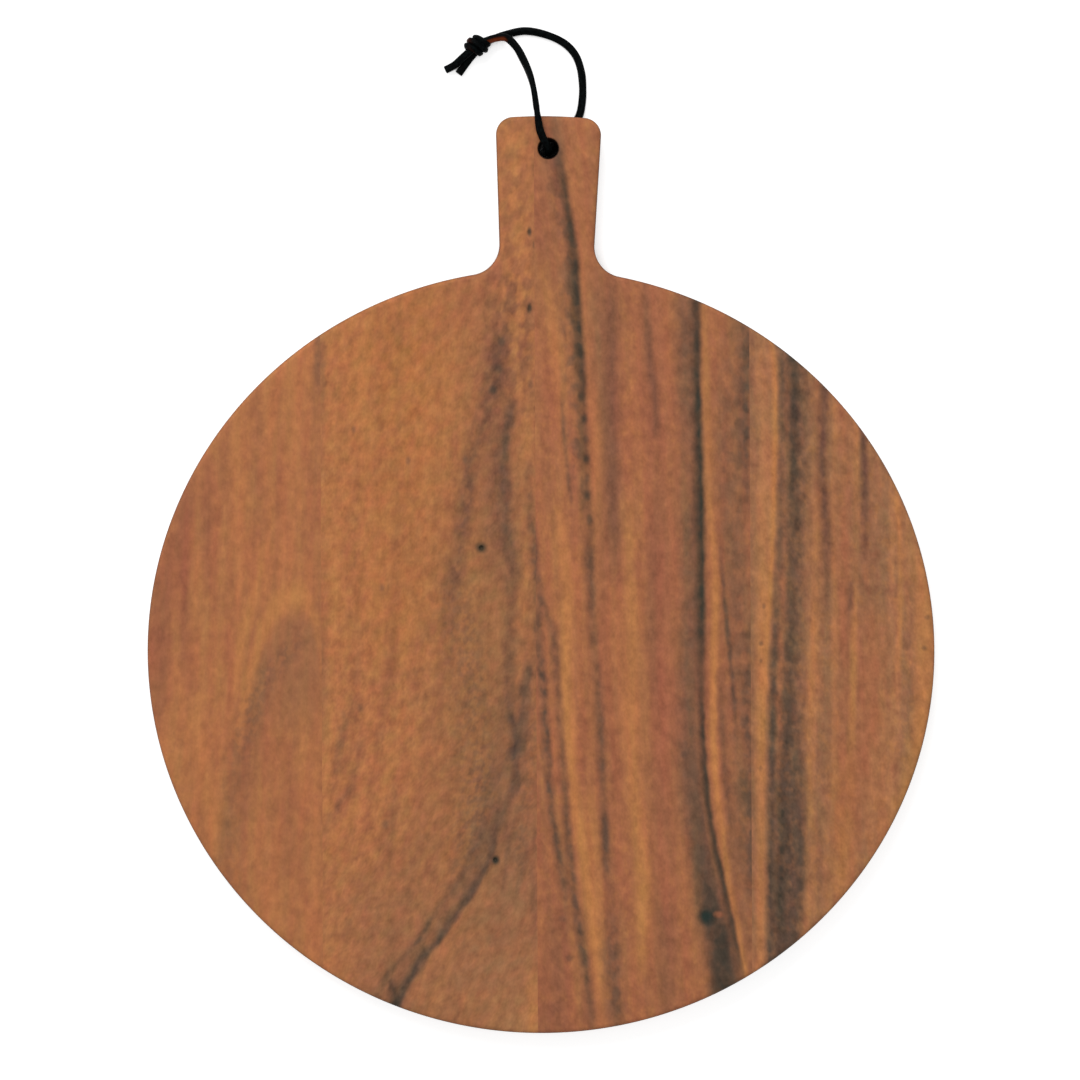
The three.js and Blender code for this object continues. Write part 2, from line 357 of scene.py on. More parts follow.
def strip_frames(points, across, twist):
    """Width and thickness directions along a line, carried without spin and then turned by a twist."""
    tangents = []
    for i in range(len(points)):
        ahead = points[min(i + 1, len(points) - 1)]
        behind = points[max(i - 1, 0)]
        tangents.append((ahead - behind).normalized())
    width = (across - tangents[0] * across.dot(tangents[0])).normalized()
    frames = []
    for i, tangent in enumerate(tangents):
        if i:
            width.rotate(tangents[i - 1].rotation_difference(tangent))
            width = (width - tangent * width.dot(tangent)).normalized()
        turned = Quaternion(tangent, twist(i / (len(points) - 1))) @ width
        frames.append((turned, tangent.cross(turned)))
    return frames


def add_strip(bm, worn, points, across, twist, wear):
    """Sweeps a leather strip along a line, cut square at both ends and flattened where it lies."""
    ring = section_ring()
    frames = strip_frames(points, across, twist)
    last = len(points) - 1
    rows = []
    for i, (point, (side, face)) in enumerate(zip(points, frames)):
        row = []
        for x, y in ring:
            offset = side * x + face * y
            place = point + offset
            place.z = max(place.z, 0.0)
            vertex = bm.verts.new(place * MM)
            vertex[worn] = wear(i / last, offset)
            row.append(vertex)
        rows.append(row)
    join_rings(bm, rows)
    bm.faces.new(rows[0][::-1])
    bm.faces.new(rows[-1])


def lace_mesh(strips):
    """A mesh of leather strips, each given as its line, first width direction, twist and wear."""
    bm = bmesh.new()
    worn = bm.verts.layers.float.new("raw_edge")
    for strip in strips:
        add_strip(bm, worn, *strip)
    bmesh.ops.recalc_face_normals(bm, faces=bm.faces)
    return bm


LEATHER_BLACK = (0.0006, 0.0008, 0.0009, 1)
# a teal black for patches that are partly wear and partly painted sheen
LEATHER_WEAR_AND_SHEEN = (0.0024, 0.0042, 0.0044, 1)
LEATHER_RAW = linear(122, 54, 26)
LEATHER_GRAIN = 2.6      # swings per millimetre, of the fine grain and of the soft creases
LEATHER_CREASES = 0.9
GRAIN_DETAIL = 4
GRAIN_ROUGHNESS = 0.62
CREASE_DETAIL = 3
WEAR_AND_SHEEN_RANGE = (0.4, 0.72)
RAW_PATCHES = (0.25, 0.6, 0.55, 1.0)
LEATHER_ROUGHNESS = (0.3, 0.7, 0.38, 0.56)
LEATHER_RELIEF = 0.35
LEATHER_SHEEN = 0.02
BUMP_HEIGHT = 0.2


def finish_surface(graph, colour, rough, relief, height, sheen):
    """Ends a material with its colour, roughness, fine relief and sheen."""
    bump = graph.add("ShaderNodeBump", {"Strength": relief, "Distance": BUMP_HEIGHT * MM, "Height": height})
    surface = graph.add("ShaderNodeBsdfPrincipled", {
        "Base Color": colour, "Roughness": rough, "Normal": bump, "Specular IOR Level": sheen})
    graph.finish("ShaderNodeOutputMaterial", surface)


def place_in_millimetres(graph):
    return graph.vector("SCALE", graph.add("ShaderNodeTexCoord", output="Object"), Scale=1 / MM)


def leather_material():
    material, graph = new_material("lace_leather")
    place = place_in_millimetres(graph)
    grain = graph.noise(graph.vector("SCALE", place, Scale=LEATHER_GRAIN), GRAIN_DETAIL, GRAIN_ROUGHNESS)
    creases = graph.noise(graph.vector("SCALE", place, Scale=LEATHER_CREASES), CREASE_DETAIL)
    # painted sheen and wear: patches of teal black where the creases' noise is high
    colour = graph.mix(graph.ramp(creases, *WEAR_AND_SHEEN_RANGE), LEATHER_BLACK, LEATHER_WEAR_AND_SHEEN)
    raw = graph.add("ShaderNodeAttribute", output="Fac", attribute_name="raw_edge")
    patchy = graph.times(raw, graph.ramp(grain, *RAW_PATCHES))
    colour = graph.mix(patchy, colour, LEATHER_RAW)
    rough = graph.straight(grain, *LEATHER_ROUGHNESS)
    finish_surface(graph, colour, rough, LEATHER_RELIEF, grain, LEATHER_SHEEN)
    return material


# How far the strip is turned about its line at shares of the loop's length, in degrees
LOOP_TWISTS = ((0, 60), (0.06, 50), (0.1, 10), (0.16, 40), (0.24, 80), (0.28, 90), (0.33, 30), (0.4, 0),
               (0.58, 20), (0.63, 25), (0.7, 90), (0.75, 80), (0.84, 20), (0.89, 0), (0.95, 20), (1, 60))
LOOP_ACROSS = Vector((0.3, -1, 0))      # the strips' width directions where they start
TAIL_ACROSS = Vector((1, -1, 0))
LONG_TWIST = 0.2
SHORT_TWIST = -0.3
RAW_LENGTH = 12.5        # of the loop from the knot on, where the strip's cut edge has lost its dye
RAW_FADE = 3
RAW_GAIN = 1.6           # how fast the raw brown sets in across the strip, and where
RAW_START = 0.1
KNOT_TURNS = 2.6
KNOT_STEPS = 80
KNOT_PITCH = 2.6
KNOT_HALF_WIDTH = 3.4
KNOT_HALF_HEIGHT = 3.05
KNOT_BARREL = 0.2        # how much slimmer the knot is at its ends
KNOT_SLANT = -0.3
KNOT_TUCK = 0.08         # share of the turns at each end that dives under the others
KNOT_TUCK_DEPTH = 0.5
KNOT_RAW_MOST = 0.7
KNOT_RAW_GAIN = 0.6
KNOT_RAW_START = 0.3
KNOT_RAW_PLACE = 0.72    # the raw turn's middle and half length, as shares of the knot's turns
KNOT_RAW_REACH = 0.2

knot_along = Vector((math.cos(KNOT_HEADING), math.sin(KNOT_HEADING), 0))


def even_twist(total):
    """A twist that grows evenly to its total, in radians."""
    return lambda share: total * share


def no_wear(share, offset):
    return 0.0


def limited(value, most=1.0):
    return max(0.0, min(most, value))


def loop_twist(share):
    for (start, first), (finish, second) in zip(LOOP_TWISTS, LOOP_TWISTS[1:]):
        if share <= finish:
            return math.radians(first + (second - first) * (share - start) / (finish - start))
    return math.radians(LOOP_TWISTS[-1][1])


def knot_turns():
    """The middle line of the lace where it winds round the two strands in the knot."""
    across = Vector((-knot_along.y, knot_along.x, 0))
    points = []
    for i in range(KNOT_STEPS + 1):
        place = i / KNOT_STEPS - 0.5
        angle = 2 * math.pi * KNOT_TURNS * place + math.pi / 2
        end = max(0.0, abs(place) - 0.5 + KNOT_TUCK) / KNOT_TUCK
        swell = (1 - KNOT_BARREL * (2 * place) ** 2) * (1 - KNOT_TUCK_DEPTH * end ** 2)
        side = math.cos(angle) * KNOT_HALF_WIDTH * swell
        lift = math.sin(angle) * KNOT_HALF_HEIGHT * swell
        drift = KNOT_PITCH * KNOT_TURNS * place + KNOT_SLANT * side
        points.append(Vector(KNOT_CENTRE) + knot_along * drift + across * side + Vector((0, 0, lift)))
    return points


def knot_wear(share, offset):
    """The cut edge shows brown on the knot's far left turn."""
    on_edge = limited(KNOT_RAW_GAIN * (-offset.x - KNOT_RAW_START), KNOT_RAW_MOST)
    return on_edge * limited(1 - abs(share - KNOT_RAW_PLACE) / KNOT_RAW_REACH)


def add_lace():
    leather = leather_material()
    loop_line = smooth_route(LOOP_ROUTE)
    loop_length = (len(loop_line) - 1) * ROUTE_STEP

    def loop_wear(share, offset):
        near_knot = (RAW_LENGTH - share * loop_length) / RAW_FADE
        return limited(near_knot) * limited(-RAW_GAIN * offset.y - RAW_START)

    plain = even_twist(0.0)
    inner_long = smooth_route((LOOP_ROUTE[0], KNOT_LONG_MIDDLE, TAIL_LONG_ROUTE[0]))
    inner_short = smooth_route((LOOP_ROUTE[-1], KNOT_SHORT_MIDDLE, TAIL_SHORT_ROUTE[0]))
    pieces = {
        "lace_loop": [(loop_line, LOOP_ACROSS, loop_twist, loop_wear)],
        "lace_tail_long": [(smooth_route(TAIL_LONG_ROUTE), TAIL_ACROSS, even_twist(LONG_TWIST), no_wear)],
        "lace_tail_short": [(smooth_route(TAIL_SHORT_ROUTE), TAIL_ACROSS, even_twist(SHORT_TWIST), no_wear)],
        "lace_knot": [(knot_turns(), knot_along, plain, knot_wear),
                      (inner_long, TAIL_ACROSS, plain, no_wear),
                      (inner_short, TAIL_ACROSS, plain, no_wear)],
    }
    for node, strips in pieces.items():
        piece = new_piece(f"{node}_strip", lace_mesh(strips), LACE_SHARP_EDGE, leather)
        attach(piece, "hanging_lace")
        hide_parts(node)


add_lace()


# Board

RIM_STEPS = 300
FILLET_STEPS = 20
CORNER_STEPS = 14
END_STEPS = 16
SIDE_STEPS = 12
ROUND_STEPS = 7
HOLE_STEPS = 48
HOLE_ROUND_STEPS = 4
FILLET_HALVINGS = 60
FACE_GRID = 6
RIM_MARGIN = 2           # the net's free distance from the rim, the handle's end and the openings
END_MARGIN = 6
OPENING_MARGIN = 1.0
OPENING_SLACK = -0.02
SCOOP_ROW_STEP = 1.4
SCOOP_ROWS = range(-1, 10)
INSIDE_ONLY = 1          # the triangulation's mode that keeps what lies inside the rim
MERGE_DISTANCE = 1e-5
STAVE_SHARP_EDGE = math.radians(35)


def rim_point(angle):
    return Vector((math.cos(angle) * DISC_WIDTH / 2, math.sin(angle) * DISC_LENGTH / 2))


def rim_normal(angle):
    return Vector((math.cos(angle) * DISC_LENGTH, math.sin(angle) * DISC_WIDTH)).normalized()


def arc(centre, radius, start, finish, steps):
    angles = [start + (finish - start) * i / steps for i in range(steps + 1)]
    return [centre + Vector((math.cos(a), math.sin(a))) * radius for a in angles]


def neck_fillet(root, outward):
    """The place on the oval where the neck fillet leaves it, and the fillet's centre."""
    low = 0.0
    high = math.pi / 2
    for _ in range(FILLET_HALVINGS):
        middle = (low + high) / 2
        centre = rim_point(middle) + rim_normal(middle) * NECK_FILLET_RADIUS
        if (centre - root).dot(outward) > NECK_FILLET_RADIUS:
            low = middle
        else:
            high = middle
    return low, centre


def board_outline():
    """The board's outline from above, counter-clockwise, as points with the inward direction at each."""
    root = Vector((HANDLE_ROOT_WIDTH / 2, disc_edge_y))
    end = Vector((HANDLE_END_WIDTH / 2, handle_end_y))
    along = (end - root).normalized()
    outward = Vector((along.y, -along.x))
    angle, centre = neck_fillet(root, outward)
    down = -rim_normal(angle)
    neck = arc(centre, NECK_FILLET_RADIUS, math.atan2(down.y, down.x) + 2 * math.pi,
               math.atan2(-outward.y, -outward.x), FILLET_STEPS)
    shoulder_y = handle_end_y - HANDLE_END_CROWN - HANDLE_CORNER_RADIUS
    side_x = root.x + (end.x - root.x) * (shoulder_y - root.y) / (end.y - root.y)
    corner_centre = Vector((side_x - HANDLE_CORNER_RADIUS / outward.x, shoulder_y))
    corner = arc(corner_centre, HANDLE_CORNER_RADIUS, math.atan2(outward.y, outward.x), math.pi / 2,
                 CORNER_STEPS)
    side = [neck[-1].lerp(corner[0], i / SIDE_STEPS) for i in range(1, SIDE_STEPS)]
    crown = []
    for i in range(1, END_STEPS + 1):
        t = i / END_STEPS
        x = corner_centre.x * (1 - t)
        crown.append(Vector((x, handle_end_y - HANDLE_END_CROWN * (1 - t) ** 2)))
    half = [*neck, *side, *corner, *crown]
    mirrored = [Vector((-p.x, p.y)) for p in reversed(half[:-1])]
    span = math.pi + 2 * angle
    rim = [rim_point(math.pi - angle + span * i / RIM_STEPS) for i in range(1, RIM_STEPS)]
    points = [*half, *mirrored, *rim]
    inward = []
    for i, point in enumerate(points):
        chord = (points[(i + 1) % len(points)] - points[i - 1]).normalized()
        inward.append(Vector((-chord.y, chord.x)))
    return points, inward


def underside(y):
    """Height of the underside: flat under the disc, scooped up to the relieved handle."""
    start = disc_edge_y + SCOOP_SETBACK
    run = math.sqrt(SCOOP_RADIUS ** 2 - (SCOOP_RADIUS - RELIEF_DEPTH) ** 2)
    if y <= start:
        return 0.0
    if y >= start + run:
        return RELIEF_DEPTH
    return RELIEF_DEPTH - SCOOP_RADIUS + math.sqrt(SCOOP_RADIUS ** 2 - (start + run - y) ** 2)


Pit = namedtuple("Pit", "x y width length depth")
PITS = (
    Pit(-28.0, 46.8, 2.4, 2.6, 1.1),
    Pit(-19.6, -95.5, 2.0, 2.4, 0.9),
    Pit(77.5, -120.1, 6.4, 7.2, 0.35),
    Pit(-7.5, 156.7, 1.6, 4.2, 0.35),
    Pit(-8.4, 191.4, 1.4, 2.6, 0.35),
)
PIT_STEPS = 16
PIT_LEVELS = ((1.0, 0.0), (0.86, 0.12), (0.66, 0.55), (0.36, 0.9))      # shares of a pit's reach and depth


def quarter_turn(steps):
    return [math.pi / 2 * i / steps for i in range(steps + 1)]


def oval_ring(bm, middle, half_width, half_length, height, steps):
    ring = []
    for i in range(steps):
        angle = 2 * math.pi * i / steps
        ring.append(bm.verts.new((middle.x + math.cos(angle) * half_width,
                                  middle.y + math.sin(angle) * half_length, height)))
    return ring


def edge_rings(bm):
    """The board's side from the underside's rim to the serving face's, over both rounded edges."""
    points, inward = board_outline()

    def ring_at(inset, high, offset):
        ring = []
        for point, direction in zip(points, inward):
            place = point + direction * inset
            base = BOARD_THICKNESS if high else underside(place.y)
            ring.append(bm.verts.new((place.x, place.y, base + offset)))
        return ring

    turns = []
    for angle in quarter_turn(ROUND_STEPS):
        turns.append((EDGE_ROUND * (1 - math.sin(angle)), EDGE_ROUND * (1 - math.cos(angle))))
    rings = [ring_at(near_rim, False, near_face) for near_rim, near_face in turns]
    rings += [ring_at(near_face, True, -near_rim) for near_rim, near_face in turns]
    join_rings(bm, rings)
    return rings


Opening = namedtuple("Opening", "middle half_width half_length ring")


def drill_hole(bm):
    """The hole's wall with its rounded mouths. Gives back its openings above and below."""
    middle = Vector((0, hole_y))
    mouth = HOLE_DIAMETER / 2 + HOLE_ROUND
    levels = []
    for angle in quarter_turn(HOLE_ROUND_STEPS):
        levels.append((mouth - HOLE_ROUND * math.sin(angle), HOLE_ROUND * (1 - math.cos(angle))))
    rings = []
    for radius, depth in levels:
        rings.append(oval_ring(bm, middle, radius, radius, BOARD_THICKNESS - depth, HOLE_STEPS))
    for radius, depth in reversed(levels):
        rings.append(oval_ring(bm, middle, radius, radius, RELIEF_DEPTH + depth, HOLE_STEPS))
    join_rings(bm, rings)
    return Opening(middle, mouth, mouth, rings[0]), Opening(middle, mouth, mouth, rings[-1])


def sink_pit(bm, pit):
    """A small pit's wall and bottom. Gives back its opening."""
    middle = Vector((pit.x, pit.y))
    half_width = pit.width / 2
    half_length = pit.length / 2
    rings = []
    for share, sunk in PIT_LEVELS:
        height = BOARD_THICKNESS - pit.depth * sunk
        rings.append(oval_ring(bm, middle, half_width * share, half_length * share, height, PIT_STEPS))
    join_rings(bm, rings)
    bottom = bm.verts.new((pit.x, pit.y, BOARD_THICKNESS - pit.depth))
    last = rings[-1]
    for a, b in zip(last, last[1:] + last[:1]):
        bm.faces.new((a, b, bottom))
    return Opening(middle, half_width, half_length, rings[0])


def in_opening(openings, x, y, margin):
    """Whether a place lies in one of the openings, widened by a margin."""
    for opening in openings:
        dx = (x - opening.middle.x) / (opening.half_width + margin)
        dy = (y - opening.middle.y) / (opening.half_length + margin)
        if dx * dx + dy * dy < 1:
            return True
    return False


def net_places(openings):
    """An even net of places on a face, clear of its rim and openings, with closer rows over the scoop."""
    half_x = DISC_WIDTH / 2 - EDGE_ROUND - RIM_MARGIN
    half_y = DISC_LENGTH / 2 - EDGE_ROUND - RIM_MARGIN
    handle_half = HANDLE_ROOT_WIDTH / 2 - EDGE_ROUND - RIM_MARGIN
    rows = range(-round(DISC_LENGTH / 2 / FACE_GRID), round(handle_end_y / FACE_GRID))
    columns = range(-round(DISC_WIDTH / 2 / FACE_GRID), round(DISC_WIDTH / 2 / FACE_GRID) + 1)
    extra_rows = [disc_edge_y + SCOOP_SETBACK + SCOOP_ROW_STEP * i for i in SCOOP_ROWS]
    places = []
    for y in sorted([row * FACE_GRID for row in rows] + extra_rows):
        for column in columns:
            x = column * FACE_GRID
            on_disc = (x / half_x) ** 2 + (y / half_y) ** 2 < 1
            on_handle = abs(x) < handle_half and 0 < y < handle_end_y - END_MARGIN
            if (on_disc or on_handle) and not in_opening(openings, x, y, OPENING_MARGIN):
                places.append((x, y))
    return places


def fill_face(bm, rim, openings, height, upward):
    """Fills a flat or scooped face inside a rim, round its openings, with an even net of triangles."""
    verts = []
    edges = []
    for ring in (rim, *(opening.ring for opening in openings)):
        start = len(verts)
        verts.extend(ring)
        edges.extend((start + i, start + (i + 1) % len(ring)) for i in range(len(ring)))
    for x, y in net_places(openings):
        verts.append(bm.verts.new((x, y, height(y))))
    corners = [v.co.xy for v in verts]
    made = delaunay_2d_cdt(corners, edges, [], INSIDE_ONLY, MERGE_DISTANCE)
    places, triangles, origins = made[0], made[2], made[3]
    for triangle in triangles:
        centre = sum((places[i] for i in triangle), Vector((0, 0))) / 3
        if not in_opening(openings, centre.x, centre.y, OPENING_SLACK):
            face = [verts[origins[i][0]] for i in triangle]
            bm.faces.new(face if upward else face[::-1])


def board_mesh():
    """The whole board as one closed mesh, with rounded edges, the hole and the small pits of the wood."""
    bm = bmesh.new()
    rings = edge_rings(bm)
    above, below = drill_hole(bm)
    pits = [sink_pit(bm, pit) for pit in PITS]
    fill_face(bm, rings[-1], [above, *pits], lambda y: BOARD_THICKNESS, True)
    fill_face(bm, rings[0], [below], underside, False)
    bmesh.ops.recalc_face_normals(bm, faces=bm.faces)
    return bm


def cut_stave(whole, left, right):
    """A copy of the board between two leaning seams. None stands for the board's own rim."""
    bm = whole.copy()
    normal = Vector((math.cos(STAVE_LEAN), math.sin(STAVE_LEAN), 0))
    for seam, direction in ((left, -1), (right, 1)):
        if seam is None:
            continue
        geometry = bm.verts[:] + bm.edges[:] + bm.faces[:]
        cut = bmesh.ops.bisect_plane(bm, geom=geometry, dist=MERGE_DISTANCE, plane_co=normal * seam,
                                     plane_no=normal * direction, clear_outer=True)
        rim = [e for e in cut["geom_cut"] if isinstance(e, bmesh.types.BMEdge)]
        bmesh.ops.holes_fill(bm, edges=rim, sides=0)
    return bm


def add_staves():
    whole = board_mesh()
    seams = [MIDDLE_SEAM_OFFSET + place * STAVE_WIDTH for place in (-1, 0, 1)]
    sides = [None, *seams, None]
    names = ("left_outer", "left_inner", "right_inner", "right_outer")
    for name, left, right in zip(names, sides, sides[1:]):
        bm = cut_stave(whole, left, right)
        bm.transform(Matrix.Scale(MM, 4))
        piece = new_piece(f"stave_{name}_wood", bm, STAVE_SHARP_EDGE, wood_material(name))
        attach(piece, "board")
        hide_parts(f"stave_{name}")
    whole.free()


# Wood: each stave has its own tones and its own figure, drawn as streaks, spots and an arch

GOLD = linear(192, 127, 74)
PALE_ORANGE = linear(179, 115, 72)
ORANGE = linear(170, 108, 71)
AMBER = linear(165, 104, 69)
RED_ORANGE = linear(159, 99, 69)
RED = linear(150, 92, 66)
DEEP_RED = linear(136, 87, 64)
BROWN = linear(146, 99, 69)
UMBER = linear(124, 88, 66)
GREY_BROWN = linear(114, 83, 64)
DARK_RED = linear(106, 73, 58)
DARK = linear(90, 71, 58)
DARKEST = linear(59, 54, 45)
KNOT_GREEN = linear(38, 48, 43)
# painted shade for the hole's wall
BORE_PAINTED_SHADE = linear(12, 10, 9)
OLIVE = linear(148, 104, 67)
SAND = linear(172, 122, 81)
TAN = linear(176, 117, 78)
OLIVE_BROWN = linear(149, 105, 75)
HONEY = linear(182, 117, 64)
ROSE = linear(160, 97, 70)
RUSSET = linear(128, 84, 63)

ROW_SPAN = (-190, 260)
COLUMN_SPAN = (-200, 200)

# A streak's points are its middle's x and y and its strength there. Left and right are how far it fades, and
# broken is how far the wood's blots break it up. A figure's light and dark are its bands' tones, tilt is how
# the grain leans through the thickness, shear how its mottle leans, fray how ragged its streaks are, hue_run
# how far a change of hue runs along the grain, and flow how far the grain has moved sideways at a y.
Streak = namedtuple("Streak", "tone left right broken points")
Spot = namedtuple("Spot", "tone x y half_width half_length strength")
Figure = namedtuple("Figure", "light dark tilt shear mottle fray hue_run flow streaks dotted spots arch",
                    defaults=((), (), False))

# Two dark veins that run on over the middle seam, so both inner staves have them
CROSSING_VEINS = (
    Streak(DARK, 3.2, 2.6, 0.4, ((25.3, -172, 0.3), (24.6, -158, 0.5), (19, -124, 0.85), (13.7, -82, 0.7),
        (7.7, -15, 0.45), (6, 3, 0.65), (5, 10, 0.55), (-0.2, 23, 0.7), (-1.6, 30, 0.8), (-4, 52, 0.65),
        (-6.6, 70, 0.5), (-7, 80, 0.45), (-6.6, 92, 0))),
    Streak(DARK, 3.6, 2.8, 0.45, ((15, -144, 0), (12.6, -122, 0.3), (12.4, -112, 0.4), (11.7, -103, 0.7),
        (7.1, -78, 0.9), (0.7, -8, 1), (-1.2, 12, 0.75), (-2.4, 28, 0))),
)

LEFT_OUTER_STREAKS = (
    Streak(RED, 14, 8, 0.2, ((-176, -45, 0), (-174, -15, 0.8), (-174, 10, 0.95), (-170, 40, 0.8),
        (-160, 95, 0))),
    Streak(RED, 4, 4, 0.2, ((-160, -30, 0), (-162, -15, 0.4), (-163, 10, 0.8), (-163.5, 40, 0.95),
        (-163, 95, 0))),
    Streak(RED, 4.5, 4.5, 0.2, ((-150, 20, 0), (-154, 55, 0.7), (-154, 70, 0.7), (-153, 90, 0))),
    Streak(GOLD, 3.5, 3.5, 0.2, ((-139, -25, 0), (-137, 0, 0.6), (-131, 25, 0.7), (-127, 50, 0))),
    Streak(GOLD, 6, 5, 0.2, ((-146, -104, 0.2), (-149, -80, 0.6), (-155, -40, 0.4), (-157, -20, 0))),
    Streak(RED, 10, 8, 0.3, ((-112, -112, 0), (-113, -92, 0.4), (-113, -76, 0.35), (-112, -60, 0))),
    Streak(GREY_BROWN, 6, 10, 0.3, ((-147, -104, 0.35), (-140, -75, 0.4), (-138, -60, 0.4),
        (-133, -35, 0.25), (-130, -20, 0))),
    Streak(GREY_BROWN, 3, 3, 0.3, ((-102, 60, 0), (-102.5, 110, 0.2), (-103, 133, 0.7), (-102, 150, 0.2))),
)
LEFT_OUTER_DOTTED = (
    Streak(UMBER, 8, 8, 1, ((-140, -58, 0.2), (-133, -34, 0.5), (-126, -15, 0.55), (-118, -5, 0.55),
        (-112, 3, 0.35), (-108, 11, 0))),
)
LEFT_OUTER = Figure(
    light=PALE_ORANGE, dark=AMBER, tilt=0.35, shear=0.0, mottle=0.65, fray=1.0, hue_run=30,
    flow=((-6, -190), (-3, -60), (0, 20), (3, 250)),
    streaks=LEFT_OUTER_STREAKS, dotted=LEFT_OUTER_DOTTED, arch=True)

